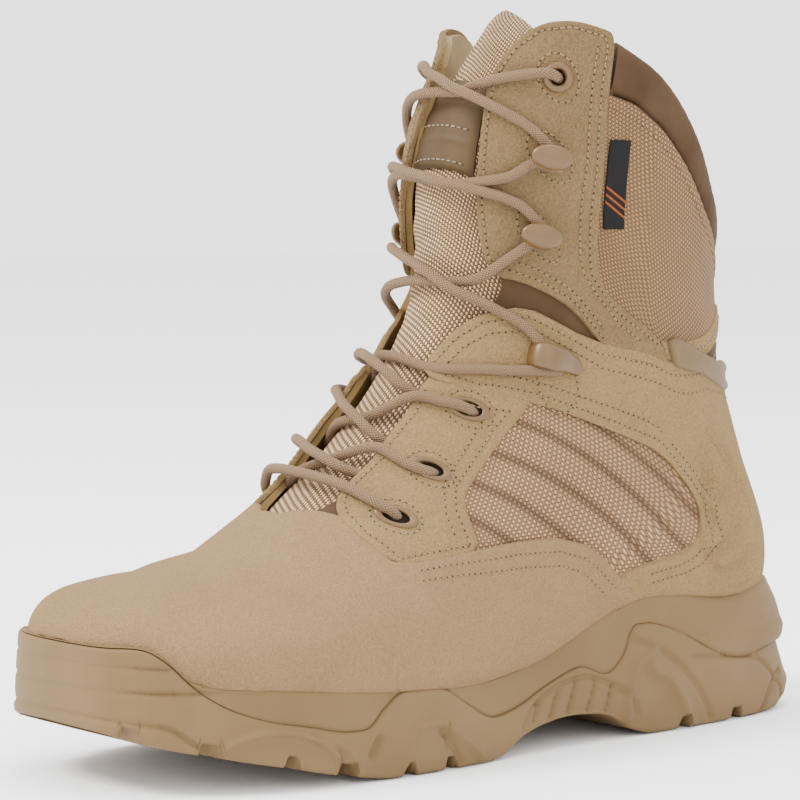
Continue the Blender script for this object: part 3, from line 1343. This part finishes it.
@dataclass
class Panels:
    """Suede panels of the upper with their seams, the moulded back strap and the side tag."""

    lift: float = -.5
    row: float = 2.1
    double: float = 4.6

    def pair(self, outline: Corners, first: int, last: int) -> list[np.ndarray]:
        """Double row inside an outline from one corner to another."""
        return [inner_row(outline, shift, first, last) for shift in (self.row, self.double)]

    @staticmethod
    def sew(sewing: Sewing, lines: Sequence[np.ndarray], rings: Sequence[np.ndarray] = (),
            relief: Optional[Relief] = None) -> None:
        """Sew a panel along its lines and round its rings."""
        for line in lines:
            sewing.along(line, SEAT - THREAD_SINK, relief=relief)
        for ring in rings:
            sewing.along(ring, SEAT, closed=True)

    @staticmethod
    def oval(side: Side, *sizes: float) -> np.ndarray:
        """Flat ring of a sewn oval on one side."""
        return mirrored(np.array(ring_row(*sizes)) * DOMAIN, side)

    def facing(self, sewing: Sewing) -> None:
        """Facings up the throat, sewn along every edge and round each fitting."""
        for side in Side:
            corners = lapped(rounded(FACING_CUT), side)
            every = [inner_row(FACING_CUT, self.row, 0, 7), inner_row(FACING_CUT, self.row, 19, 23)]
            every += self.pair(FACING_CUT, 7, 13) + self.pair(FACING_CUT, 16, 19)
            every = [lapped_line(line, side) for line in every]
            rings = [self.oval(side, *HOOKS[0], 9.2, 7.0), self.oval(side, *HOOKS[1], 9.2, 7.0),
                     self.oval(side, *TOP_EYELET, 7.6, 7.6)]
            hole = on_side(ring_row(*TOP_EYELET, 2.9, 2.9), side)
            Sheet(f"facing_{side.value}_suede", corners, Finish.SHAFT_SUEDE, BED - .2, PANEL + .1,
                  holes=[hole], seams=every).build(f"facing_{side.value}")
            self.sew(sewing, every, rings)

    def body(self, sewing: Sewing) -> None:
        """Ankle strap and heel counter as one piece from throat to throat round the heel."""
        stop = rim_end(-90, 11.0, 12.6, self.lift)
        rim = [(k, rim_angle(k, self.lift)) for k in HEEL_KS if rim_angle(k, self.lift) > -86]
        half = list(BODY_TOP[:-1])[::-1] + list(BODY_LOW[::-1]) + rim
        corners = rounded(half + [(stop, -90)] + behind(half), 1)
        loop = list(BODY_TOP) + [(13.0, -90), (11.0, -60)] + list(BODY_LOW)
        lines = self.pair(loop, 0, 10) + self.pair(loop, 16, 25)
        lines += [np.stack([line[:, 0], -180 * PER_DEGREE - line[:, 1]], 1) for line in lines]
        Sheet("body_suede", corners, Finish.BODY_SUEDE, step=1.1, seams=lines, relief=heel_relief).build(
            "ankle_strap_outer", "ankle_strap_inner", "heel_counter")
        self.sew(sewing, lines, relief=heel_relief)
        self.sew(sewing, (), [self.oval(side, 10.72, 33.0, 9.6, 9.2, .5) for side in Side])

    def quarter(self, sewing: Sewing) -> None:
        """Quarters: three scalloped tabs with an oval hole each."""
        for side in Side:
            corners = on_side(rounded(QUARTER_CUT), side)
            front, rear = inner_row(QUARTER, self.row, 0, 10), self.pair(QUARTER, 10, 14)
            lines = [mirrored(line, side) for line in (front, inner_row(QUARTER, self.row, 15, 17), *rear)]
            holes = [on_side(ring_row(*spot, 5.0, 2.5, HOLE_TILT), side) for spot in EYELETS]
            Sheet(f"quarter_{side.value}_suede", corners, Finish.BODY_SUEDE, BED - .1, PANEL + .1, holes=holes,
                  seams=lines, relief=self.tuck).build(f"quarter_{side.value}")
            self.sew(sewing, lines, [self.oval(side, *spot, 9.2, 6.0, HOLE_TILT) for spot in EYELETS])

    @staticmethod
    def tuck(k: np.ndarray, angle: np.ndarray) -> np.ndarray:
        """The quarter's top sinks where it runs in under the ankle strap."""
        side = over_front(angle)
        return -1.0 * smooth(-.03, .07, k - (10.10 - .0298 * (side - 36)))

    def vamp(self, sewing: Sewing) -> None:
        """Plain vamp with its wings back along both sides."""
        start = rim_end(90, 0.0, 1.0, self.lift)
        rim = [(k, rim_angle(k, self.lift)) for k in VAMP_KS if k > start + .05]
        top = [(7.04, 62), (6.96, 70), (6.86, 78), (6.72, 84)]
        wing = [(9.50, -4), (9.46, .5), (9.36, 6.2), (9.08, 12.2), (8.60, 17.6), (8.05, 22.6), (7.30, 30.5),
                (7.02, 36), (6.96, 50)]
        half = wing + top
        outline = rim + [(start, 90)] + over(rim) + over(half)[::-1] + half[::-1]
        Sheet("vamp_suede", outline, Finish.VAMP_SUEDE, BED + .35, PANEL - .2, 1.7,
              relief=self.wing_relief).build("vamp")
        for shift in (self.row, self.double):
            line = offset(path_of(wing[:7]), shift, False)
            for side in Side:
                sewing.along(mirrored(line, side), SEAT + .10, relief=self.wing_relief)

    @staticmethod
    def wing_relief(k: np.ndarray, angle: np.ndarray) -> np.ndarray:
        """The vamp's wing lies over the quarter and the tab lies over the vamp, so it rises and sinks."""
        side = over_front(angle)
        wing = smooth(7.6, 8.4, k) * smooth(-8, 2, side)
        return 1.0 * wing - .30 * smooth(30, 44, side) * smooth(6.5, 6.9, k)

    def strap(self) -> None:
        """Moulded back strap with a framed field."""
        half = list(STRAP_TOP)
        outline = half + behind(half)[1:] + behind(list(STRAP_LOW)) + list(STRAP_LOW)[1:]
        loop = loop_of(outline, 1.0)

        def relief(k: np.ndarray, angle: np.ndarray) -> np.ndarray:
            """Recess that leaves a raised frame along the strap's edge."""
            return -.6 * smooth(.9, 1.7, away_from(loop, k, angle))

        Sheet("back_strap_moulding", outline, Finish.STRAP, BED + .3, 2.4, .45, .8, relief=relief).build("back_strap")

    def tag(self) -> None:
        """Dark woven tag with thin plain stripes, sewn in under the facing's rear edge."""
        Sheet("side_tag_cloth", list(SIDE_TAG), Finish.TAG, BED + .15, .55, 1.0, .3).build("side_tag")
        for place in (14.30, 14.42, 14.54):
            corners = ((place + .05, 14.4), (place + .07, 7.6), (place + .02, 7.6), (place, 14.4))
            Sheet(f"side_tag_stripe_{int(place * 100)}", corners, Finish.TAG_LINE, BED + .60, .16, .8, .1).build()


HOOK_TOP = 5.6


def cut_torus(major: float, minor: float) -> Callable[[], object]:
    """Call that adds a ring of these radii in millimetres."""
    return partial(bpy.ops.mesh.primitive_torus_add, major_radius=major, minor_radius=minor, major_segments=40,
                   minor_segments=12)


@dataclass
class Fittings:
    """Oval eyelets, round top eyelets, speed hooks and ankle hooks, each modelled once and copied."""

    seat: float = SEAT + .1

    def axes(self, k: float, angle: float, tilt: float = 0.0) -> tuple[np.ndarray, np.ndarray]:
        """Place and directions round, along and out at a place on the last, turned by tilt."""
        lift = float(creases(k, np.array(angle)) + flare(k, np.array(angle)))
        here, out = frames(k, angle, self.seat + lift)
        turned = world(shoe_points(k, angle + 1, self.seat)) - world(shoe_points(k, angle - 1, self.seat))
        turned /= np.linalg.norm(turned)
        run = np.cross(out, turned)
        ahead = world(shoe_points(k + .05, angle, self.seat)) - world(shoe_points(k - .05, angle, self.seat))
        if float(np.dot(run, ahead)) < 0:
            run = -run
        one = turned * math.cos(tilt) + run * math.sin(tilt)
        two = run * math.cos(tilt) - turned * math.sin(tilt)
        return here, np.array([one, two, out])

    def at(self, side: Side, spot: tuple[float, float], tilt: float = 0.0) -> tuple[np.ndarray, np.ndarray]:
        """Place and directions on one side for a place and tilt given on the outer side."""
        k, angle = spot
        return self.axes(k, angle, tilt) if side is Side.OUTER else self.axes(k, 180 - angle, -tilt)

    @staticmethod
    def stretched(*size: float) -> Callable[[Thing], None]:
        """Call that draws a modelled shape out along its three directions."""
        def stretch(_: Thing) -> None:
            """Resize every point in edit mode."""
            bpy.ops.object.mode_set(mode="EDIT")
            bpy.ops.mesh.select_all(action="SELECT")
            bpy.ops.transform.resize(value=size)
            bpy.ops.object.mode_set(mode="OBJECT")
        return stretch

    def hood(self) -> Shape:
        """Ankle hook: a band that bridges the lace and runs out in a flat tail, as points and faces."""
        spine = spline(((6.6, 0, -.6), (6.5, .1, 1.6), (5.6, .2, 4.0), (3.0, .2, 5.5), (-.4, 0, 5.4),
            (-4.0, .5, 3.9), (-7.4, .4, 1.9),
                        (-10.4, -.2, .7), (-12.6, -.8, .0)), 6)
        widths = ((0, 4.0), (.12, 4.1), (.3, 4.3), (.5, 4.2), (.7, 3.7), (.88, 2.7), (.96, 1.7), (1, .5))
        halves = table(widths, np.linspace(0, 1, len(spine)))
        points, sides = [], 24
        cross = np.array([0, 1.0, 0])
        for place, way, half in zip(spine, unit(np.gradient(spine, axis=0)), halves):
            up = unit(np.cross(way, cross))
            for turn in np.arange(sides) / sides * math.tau:
                u, v = math.cos(turn), math.sin(turn)
                ridge = 1 + .30 * math.cos(u * math.tau) * (v > 0)
                across, along = half * np.sign(u) * abs(u)**.75, 1.35 * ridge * np.sign(v) * abs(v)**.8
                points.append(place + cross * across + up * along)
        count = len(spine)
        faces = strips(count, sides)
        points += [spine[0], spine[-1]]
        last = (count - 1) * sides
        faces += [(count * sides, (j + 1) % sides, j) for j in range(sides)]
        faces += [(count * sides + 1, last + j, last + (j + 1) % sides) for j in range(sides)]
        return np.array(points), faces

    def build(self) -> None:
        """All the fittings, on both sides."""
        mesh = bpy.ops.mesh
        oval = template(cut_torus(3.2, .75), self.stretched(1.85, 1.0, .75))
        round_rim = template(cut_torus(3.9, 1.25))
        pebble = template(lambda: mesh.primitive_uv_sphere_add(segments=32, ring_count=20, radius=1.0),
                          self.stretched(7.1, 4.3, 2.3))
        stem = template(lambda: mesh.primitive_cylinder_add(vertices=24, radius=2.2, depth=5.4, location=(0, 0, 2.6)))
        foot = template(lambda: mesh.primitive_cylinder_add(vertices=32, radius=5.2, depth=.7, location=(0, 0, .3)))
        plug = template(lambda: mesh.primitive_cylinder_add(vertices=32, radius=3.4, depth=.6, location=(0, 0, -1.25)))
        hood = self.hood()
        head = (pebble[0] + np.array([0, 0, HOOK_TOP]), pebble[1])
        oval_plug = (plug[0] * np.array([1.55, .75, 1]), plug[1])
        for side in Side:
            kinds = [(f"eyelet_{n}", spot, HOLE_TILT, (("rim", oval), ("dark", oval_plug)))
                     for n, spot in enumerate(EYELETS, 1)]
            kinds.append(("top_eyelet", TOP_EYELET, 0.0, (("rim", round_rim), ("dark", plug))))
            kinds += [(f"hook_{n}", spot, HOOK_TILT, (("head", head), ("stem", stem), ("foot", foot)))
                      for n, spot in enumerate(HOOKS, 1)]
            turned = hood if side is Side.OUTER else (hood[0] * np.array([-1, 1, 1]), hood[1])
            kinds.append(("ankle_hook", ANKLE_HOOK, ANKLE_TILT, (("hood", turned),)))
            for name, place, tilt, parts in kinds:
                spot, axes = self.at(side, place, tilt)
                for n, (part, shape) in enumerate(parts):
                    slot = Finish.HOLE if part == "dark" else Finish.FITTING
                    made = placed(f"{name}_{side.value}_{part}", shape, spot, axes, [slot])
                    if n == 0:
                        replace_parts(made, f"{name}_{side.value}")


# Laces: runs of station, angle and growth from the toe up, the ones that lie under first, with their CAD nodes
LACE_RUNS = (
    ("lace_bar_run", ("lace_bar",), (
        (7.52, 46, -1), (7.51, 49, 2.4), (7.47, 52, 3.6), (7.43, 56, 4.2), (7.40, 63, 4.0), (7.38, 71, 3.6),
        (7.36, 78, 3.2), (7.35, 86, 3.4), (7.36, 95, 4.0), (7.4, 104, 5.0), (7.44, 112, 6.2), (7.48, 120, 5.8),
        (7.5, 128, 4.6), (7.5, 134, -.5))),
    ("lace_1_under", ("lace_cross_1",), (
        (8.33, 47, -1), (8.26, 49, 2.4), (8.20, 51, 3.6), (8.12, 56, 4.2), (8.09, 62, 4.2), (8.07, 67, 3.8),
        (7.97, 73, 2.2), (7.82, 79, 1.2), (7.66, 86, .6), (7.55, 95, .2), (7.5, 108, -1), (7.5, 122, -2))),
    ("lace_1_over", (), (
        (8.31, 133, -.5), (8.28, 128, 4.6), (8.15, 121, 6.8), (7.98, 112, 6.8), (7.82, 102, 6.2), (7.68, 92, 5.8),
        (7.60, 82, 5.2), (7.60, 76, 3.4), (7.66, 71, .4), (7.75, 65, -1.4), (7.9, 58, -2.0))),
    ("lace_2_under", ("lace_cross_2",), (
        (9.35, 48, -1), (9.32, 50, 2.4), (9.28, 52, 3.6), (9.21, 55, 4.2), (9.13, 58, 4.2), (9.02, 64, 4.2),
        (8.90, 68, 3.6), (8.69, 74, 1.4), (8.48, 80, .4), (8.36, 88, .2), (8.32, 98, 0), (8.32, 110, -1.2),
        (8.31, 122, -2))),
    ("lace_2_over", (), (
        (9.33, 132, -.5), (9.28, 127, 4.8), (9.1, 121, 7.0), (8.85, 112, 7.0), (8.65, 102, 6.2), (8.45, 92, 5.6),
        (8.33, 84, 5.2), (8.26, 78, 4.4), (8.22, 73, 2.2), (8.24, 68, -.8), (8.3, 58, -2.0))),
    ("lace_3_under", ("lace_cross_3",), (
        (10.92, 33, 4.4), (10.75, 36, 4.3), (10.52, 40, 4.1), (10.19, 46, 4.0), (9.88, 53, 4.0), (9.62, 60, 3.6),
        (9.45, 68, 1.6), (9.4, 78, .4), (9.4, 90, .4), (9.45, 102, 0), (9.4, 112, -1.2), (9.35, 122, -2))),
    ("lace_3_over", (), (
        (10.8, 143, 4.8), (10.4, 139, 5.4), (9.95, 130, 7.0), (9.6, 118, 7.4), (9.4, 106, 6.4), (9.22, 94, 5.8),
        (9.1, 84, 5.0), (9.02, 76, 3.6), (9.02, 71, 1.4), (9.05, 66, -.8), (9.2, 58, -2.0))),
    ("lace_4_under", ("lace_cross_4",), (
        (12.84, 33, 4.4), (12.78, 36, 4.4), (12.60, 41, 4.3), (12.04, 50, 4.0), (11.47, 59, 2.8),
        (11.15, 66, 1.6), (10.9, 76, 1.0), (10.8, 88, 1.2), (10.8, 100, 2.6), (10.85, 110, 5.4), (10.9, 118, 6.6),
        (11.0, 128, 6.0), (11.0, 138, 4.8), (10.9, 143, 4.6))),
    ("lace_4_over", (), (
        (12.84, 145, 4.4), (12.7, 142, 4.6), (12.4, 138, 4.6), (12.1, 130, 4.6), (11.85, 118, 4.8),
        (11.5, 104, 4.8), (11.2, 92, 4.6), (10.97, 80, 5.0), (10.87, 69, 4.8), (11.00, 55, 4.0), (11.09, 48, 4.2),
        (11.12, 44, 4.3), (11.05, 39, 4.4), (10.92, 34, 4.4))),
    ("lace_5_under", ("lace_cross_5",), (
        (14.33, 31, 4.4), (14.2, 33, 4.4), (14.10, 38, 4.4), (13.97, 42, 4.3), (13.49, 50, 4.0), (13.10, 62, 3.4),
        (12.85, 74, 1.8), (12.82, 84, 1.0), (12.90, 94, 2.8), (13.0, 103, 4.1), (13.05, 111, 4.2),
        (13.1, 118, 4.4), (13.08, 128, 4.4), (12.98, 136, 4.5), (12.84, 143, 4.4))),
    ("lace_5_over", (), (
        (14.33, 147, 4.4), (14.15, 143, 4.5), (13.9, 138, 4.5), (13.6, 130, 4.4), (13.4, 118, 4.5),
        (13.15, 104, 4.6), (12.95, 92, 4.6), (12.83, 80, 5.0), (12.88, 70, 4.8), (12.94, 62, 4.2),
        (13.08, 50, 4.0), (13.12, 44, 4.2), (13.05, 39, 4.4), (12.90, 33, 4.4))),
    ("lace_6_under", ("lace_cross_6",), (
        (15.74, 36, -1.0), (15.74, 38, 2.6), (15.71, 41, 3.8), (15.64, 44, 4.2), (15.32, 56, 3.9),
        (14.98, 69, 2.0), (14.75, 78, 1.0), (14.70, 87, 1.6), (14.67, 96, 3.6), (14.66, 106, 4.2),
        (14.66, 118, 4.2), (14.62, 128, 4.4), (14.5, 137, 4.4), (14.33, 145, 4.4))),
    ("lace_6_over", (), (
        (15.74, 145, -1.0), (15.74, 141, 3.0), (15.68, 134, 4.2), (15.6, 126, 4.4), (15.5, 117, 4.4),
        (15.3, 104, 4.2), (15.05, 92, 4.4), (14.82, 80, 5.0), (14.72, 69, 5.0), (14.66, 60, 4.4),
        (14.62, 47, 4.0), (14.56, 41, 4.2), (14.44, 35, 4.4), (14.33, 31.5, 4.4))),
)


@dataclass
class Laces:
    """Braided round lace on its real run through the eyelets and round the hooks."""

    thick: float = LACE

    def build(self) -> None:
        """Bar and crossings from the toe up, a tube each."""
        for name, stood, spots in LACE_RUNS:
            line = spline(spots, 12)
            places = world(shoe_points(line[:, 0], line[:, 1], line[:, 2]))
            _, out = frames(line[:, 0], line[:, 1], np.maximum(line[:, 2], 0))
            made = tube(name, places, out, self.thick / 2 * MM, Finish.CORD)
            if stood:
                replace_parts(made, *stood)


# Tread grooves across the sole: place, width and sweep, and side grooves, as in the part's source
GROOVES = (
    (.130, .020, .030), (.225, .016, .030), (.600, .016, .040), (.660, .014, .040), (.738, .022, .040),
    (.806, .014, .035), (.884, .020, .030), (.955, .012, .020),
)
# Lines moulded in the side, in a and z: line, half width and depth in millimetres, minus for a ridge
SIDE_LINES = (
    (((303, 39.5), (286, 39.0), (268, 38.2), (254, 37.6)), .5, 1.0),
    (((303, 32.0), (286, 31.6), (268, 31.0), (256, 30.6)), .55, 1.2),
    (((303, 24.0), (289, 21.5), (283.5, 21.0), (276.5, 16.0), (270, 11.5)), .7, 1.3),
    (((270.5, 12.5), (262, 17.0), (250, 18.0), (240, 15.5), (232.5, 10.0), (229, 4.0)), 1.0, -1.7),
    (((215.5, 13.0), (218.5, 8.0)), 1.1, 1.8),
    (((225, 4), (226.5, 10), (232.5, 14), (241.5, 16)), 1.4, -1.4),
    (((204, 5), (203, 12), (197, 16), (189, 15), (180, 9), (172, 3)), 1.5, -1.6),
    (((190, 13), (184, 6), (181, 1)), 1.1, 1.4),
    (((151, 9), (146, 15), (137, 20.0), (124, 22.5), (112, 20), (101, 14), (97, 8)), .9, 1.1),
    (((146, 10.5), (143.5, 16)), .8, 1.6), (((138, 10.5), (134.5, 19.0)), .8, 1.6),
    (((129.5, 11), (126, 21.5)), .8, 1.6), (((120, 11), (116.5, 20.5)), .8, 1.6), (((111.5, 9.5),
    (108.5, 17.5)), .8, 1.6),
    (((102, 6), (100, 18), (96, 25), (88, 28.5)), 1.5, -1.5),
    (((90, 22), (82, 18), (76, 10), (72, 2)), 2.0, -2.0),
    (((100.5, 33.5), (83.5, 27), (69.5, 16), (60, 2)), 1.0, 1.1),
    (((68.5, 31.5), (50.5, 29.5), (30, 30.5), (6, 33)), .6, 1.0),
    (((69, 24), (52, 22.5), (34, 20.5), (22, 12), (17, 4)), .8, 1.1),
    (((31, 0), (27, 8), (17, 13.5)), 1.0, 1.6),
)


@dataclass
class Sole:
    """Cupped rubber sole in one dense mesh: side with its moulded lines, lip under the upper, lugs below."""

    around: int = 430
    wall: int = 46
    floor_rows: int = 20
    sink: float = -.2
    lip_round: float = 1.3
    cup_gap: float = .9
    lean: Corners = ((0, .45), (.16, .10), (.34, .0), (.68, .42), (1, 1.0))

    def tread(self, a: np.ndarray, c: np.ndarray) -> np.ndarray:
        """Depth of the chevron grooves at places of the bottom."""
        depth = np.zeros(np.broadcast(a, c).shape)
        for place, width, sweep in GROOVES:
            near = (place + sweep * (1 - np.abs(c) / 75)) * LENGTH
            wide = width * LENGTH
            inside = smooth(-.5, .5, a - near) * (1 - smooth(wide - .5, wide + .5, a - near))
            depth = np.maximum(depth, 4.0 * inside)
        channel = np.exp(-((c + 2 - 4 * np.sin(a / 16)) / 3.2)**4) * smooth(8, 20, a) * (1 - smooth(84, 94, a))
        front = np.exp(-((c + 2 - 5 * np.sin(a / 13)) / 3.2)**4) * smooth(172, 182, a) * (1 - smooth(278, 288, a))
        return np.maximum(depth, 3.2 * np.maximum(channel, front))

    def side(self, a: np.ndarray, z: np.ndarray) -> np.ndarray:
        """How far the side stands out from its plain form."""
        flat = np.stack([a, z], -1).reshape(-1, 2)
        rise = np.zeros(len(flat))
        for line, half, depth in SIDE_LINES:
            away = distance(flat, spline(line, 6), False)
            rise -= depth * np.exp(-(away / (half * 1.15))**2)
        rise = rise.reshape(a.shape) * (1 - .65 * smooth(286, 298, a))
        arch = np.exp(-((a - 124) / 26)**4) * (1 - smooth(14, 22, z)) * .9
        shelf = .7 * smooth(.2, 1.4, 24.0 + (303 - a) * -.10 - z) * smooth(284, 287, a)
        return rise - arch + shelf

    def contact(self, side: Side) -> np.ndarray:
        """Line in shoe coordinates where the last, grown a little, meets the rim on one side, from toe to heel."""
        start, stop = rim_end(90, 0.0, 1.0, self.sink), rim_end(-90, 11.0, 12.6, self.sink)
        ks = np.linspace(start + .01, stop - .005, 220)
        angles = np.array([rim_angle(float(k), self.sink) for k in ks])
        line = shoe_points(ks, angles if side is Side.OUTER else 180 - angles, self.cup_gap)
        ends = shoe_points(np.array([start, stop]), np.array([90, -90]), self.cup_gap)
        return np.vstack([ends[:1], line, ends[1:]])

    def half(self, side: Side) -> np.ndarray:
        """One side of the sole: rows from the middle of the bottom up the side and down inside the cup."""
        turns = np.linspace(0, 1, self.around)
        a, c, na, nc = outline_at(turns, side)
        middle = (curve(OUTLINE, 1, turns) + curve(OUTLINE, 2, turns)) * SOLE_WIDTH / 2
        spread = curve(FLARE, 1, a / LENGTH) * LENGTH
        ground, parting, rim, slab = (height(rows, a) for rows in (GROUND, PARTING, RIM, SLAB))
        rows = []
        edge_a, edge_c = a - na * .45 * spread, c - nc * .45 * spread
        for share in np.linspace(0, 1, self.floor_rows)[:-1]:
            spot_a, spot_c = a + (edge_a - a) * share, middle + (edge_c - middle) * share
            rows.append(np.stack([spot_a, spot_c, ground + self.tread(spot_a, spot_c)], -1))
        low = ground + self.tread(edge_a, edge_c)
        for share in np.linspace(0, 1, self.wall):
            z = low + (np.maximum(parting, low + .5) - low) * share
            part = np.clip((z - ground) / np.maximum(parting - ground, .5), 0, 1)
            shift = -table(self.lean, part) * spread * (1 - .38 * smooth(.3, 1.0, part) * (1 - smooth(45, 70, a)))
            foot = -.8 * (1 - np.minimum(1, (share * (parting - low)) / 1.0))**2
            head = -.5 * (1 - np.minimum(1, ((1 - share) * (parting - low)) / .8))**2
            shift = shift + self.side(a, z) * smooth(0, 1.5, z - low) + foot + head
            rows.append(np.stack([a + na * shift, c + nc * shift, z], -1))
        top = np.maximum(rim, parting + .6)
        for n, share in enumerate(np.linspace(0, 1, 16)):
            z = parting + .1 + (top - parting - .1) * share
            part = np.clip((z - slab) / np.maximum(rim - slab, .5), 0, 1)
            shift = -1.5 - table(self.lean, part) * spread - (.5 if n == 0 else 0)
            shift = shift + np.where(rim - parting < 3, 1.35 * smooth(0, 1, share), 0) + self.side(a, z) * .6
            shift = shift - self.lip_round * (1 - round_off((top - z) / self.lip_round))
            rows.append(np.stack([a + na * shift, c + nc * shift, z], -1))
        inner = self.nearest(rows[-1], self.contact(side)) - np.array([0, 0, .5])
        deep = np.stack([inner[:, 0], inner[:, 1], slab + .5], -1)
        rows += [rows[-1] * .5 + inner * .5 + np.array([0, 0, .15]), inner, deep, np.stack([a, middle, slab + .5], -1)]
        return np.stack(rows, 1)

    def build(self) -> None:
        """Sole that stands for the CAD outsole and midsole."""
        outer, inner = (self.half(side) for side in Side)
        for end in (0, -1):
            outer[end] = inner[end] = (outer[end] + inner[end]) / 2
        ring = np.concatenate([outer, inner[:, ::-1]], 1)
        count, wide = ring.shape[:2]
        made = piece("sole_moulding", world(ring.reshape(-1, 3)), strips(count, wide), [Finish.SOLE], crease=60)
        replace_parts(outward(made, 8e-6, 4e-6), "outsole", "midsole")

    @staticmethod
    def nearest(points: np.ndarray, line: np.ndarray) -> np.ndarray:
        """Nearest places on a line, seen from above, for each point."""
        starts, runs = line[:-1, :2], np.diff(line[:, :2], axis=0)
        sizes = np.maximum((runs**2).sum(1), 1e-9)
        away = points[:, None, :2] - starts[None]
        share = np.clip((away * runs[None]).sum(2) / sizes, 0, 1)
        spots = starts[None] + share[..., None] * runs[None]
        best = np.linalg.norm(points[:, None, :2] - spots, axis=2).argmin(1)
        found = spots[np.arange(len(points)), best]
        return np.hstack([found, points[:, 2:]])


@dataclass
class Insole:
    """Felt footbed lying in the upper."""

    grow: float = -WALL - .8
    thick: float = 4.5

    def build(self) -> None:
        """Soft footbed that stands for the CAD insole."""
        rings = []
        for k in np.linspace(.9, 11.7, 150):
            under = shoe_points(k, np.linspace(-37.2, -142.8, 25), self.grow)
            level = shoe_points(k, -90, self.grow)[2] + self.thick
            under[:, 2] = np.minimum(under[:, 2], level)
            upper = under[::-1].copy()
            upper[:, 2] = level + .25 * np.cos(np.linspace(-1, 1, 25) * 1.5)
            rings.append(world(np.vstack([under, upper])))
        made = loft("footbed_felt", np.array(rings), Finish.FELT, crease=60)
        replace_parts(made, "insole")


@dataclass
class Studio:
    """Pale floor, soft lights and the photo's camera."""

    distance: float = 1050.0
    azimuth: float = 52.0
    target: tuple[float, float, float] = (-13.0, -3.5, 113.0)
    eye: float = 180.0
    lens: float = 139.5

    def build(self) -> None:
        """Stage, world, lights and camera."""
        bpy.ops.object.select_all(action="DESELECT")
        bpy.ops.mesh.primitive_plane_add(size=16.0, location=(0, 0, -.0004))
        floor = bpy.context.object
        floor.name = "floor"
        floor.data.materials.append(finish(Finish.FLOOR))
        sky = bpy.data.worlds.new("studio")
        bpy.context.scene.world = sky
        sky.use_nodes = True
        light = sky.node_tree.nodes["Background"].inputs
        light["Color"].default_value, light["Strength"].default_value = (1.0, 1.0, 1.0, 1.0), SKY
        for name, place, target, size, power in LIGHTS:
            lamp = bpy.data.lights.new(name, "AREA")
            lamp.shape = "SQUARE"
            lamp.size = size
            lamp.energy = power
            made = bpy.data.objects.new(name, lamp)
            made.location = place
            made.rotation_euler = (Vector(target) - Vector(place)).to_track_quat("-Z", "Y").to_euler()
            bpy.context.scene.collection.objects.link(made)
        turn = math.radians(self.azimuth)
        look = bpy.data.cameras.new("camera")
        look.lens, look.sensor_width = self.lens, 36.0
        look.clip_start, look.clip_end = .05, 60.0
        look.dof.use_dof = False
        camera = bpy.data.objects.new("camera", look)
        across, along, up = self.target
        across -= MIDDLE
        target = Vector((across * MM, along * MM, up * MM))
        camera.location = Vector(((across + math.sin(turn) * self.distance) * MM,
                                  (along - math.cos(turn) * self.distance) * MM, self.eye * MM))
        camera.rotation_euler = (target - camera.location).to_track_quat("-Z", "Y").to_euler()
        bpy.context.scene.collection.objects.link(camera)
        bpy.context.scene.camera = camera


SKY = 2.6
LIGHTS = (
    ("key", (-.5, -1.5, 1.7), (0, 0, .1), .8, 78.0),
    ("fill", (1.9, -.4, 1.0), (0, 0, .1), 1.6, 10.0),
    ("top", (.1, .3, 1.9), (0, 0, .1), 1.2, 24.0),
)


def main() -> None:
    """Build and dress the boot in order."""
    logging.basicConfig(level=logging.INFO, format="%(name)s %(message)s")
    sewing = Sewing()
    upper = Upper()
    upper.shell()
    upper.cloth(sewing)
    Tongue().build(sewing)
    Collar().build()
    panels = Panels()
    panels.facing(sewing)
    panels.body(sewing)
    panels.quarter(sewing)
    panels.vamp(sewing)
    panels.strap()
    panels.tag()
    sewing.build()
    Fittings().build()
    Laces().build()
    Sole().build()
    Insole().build()
    Studio().build()


if __name__ == "__main__":
    main()
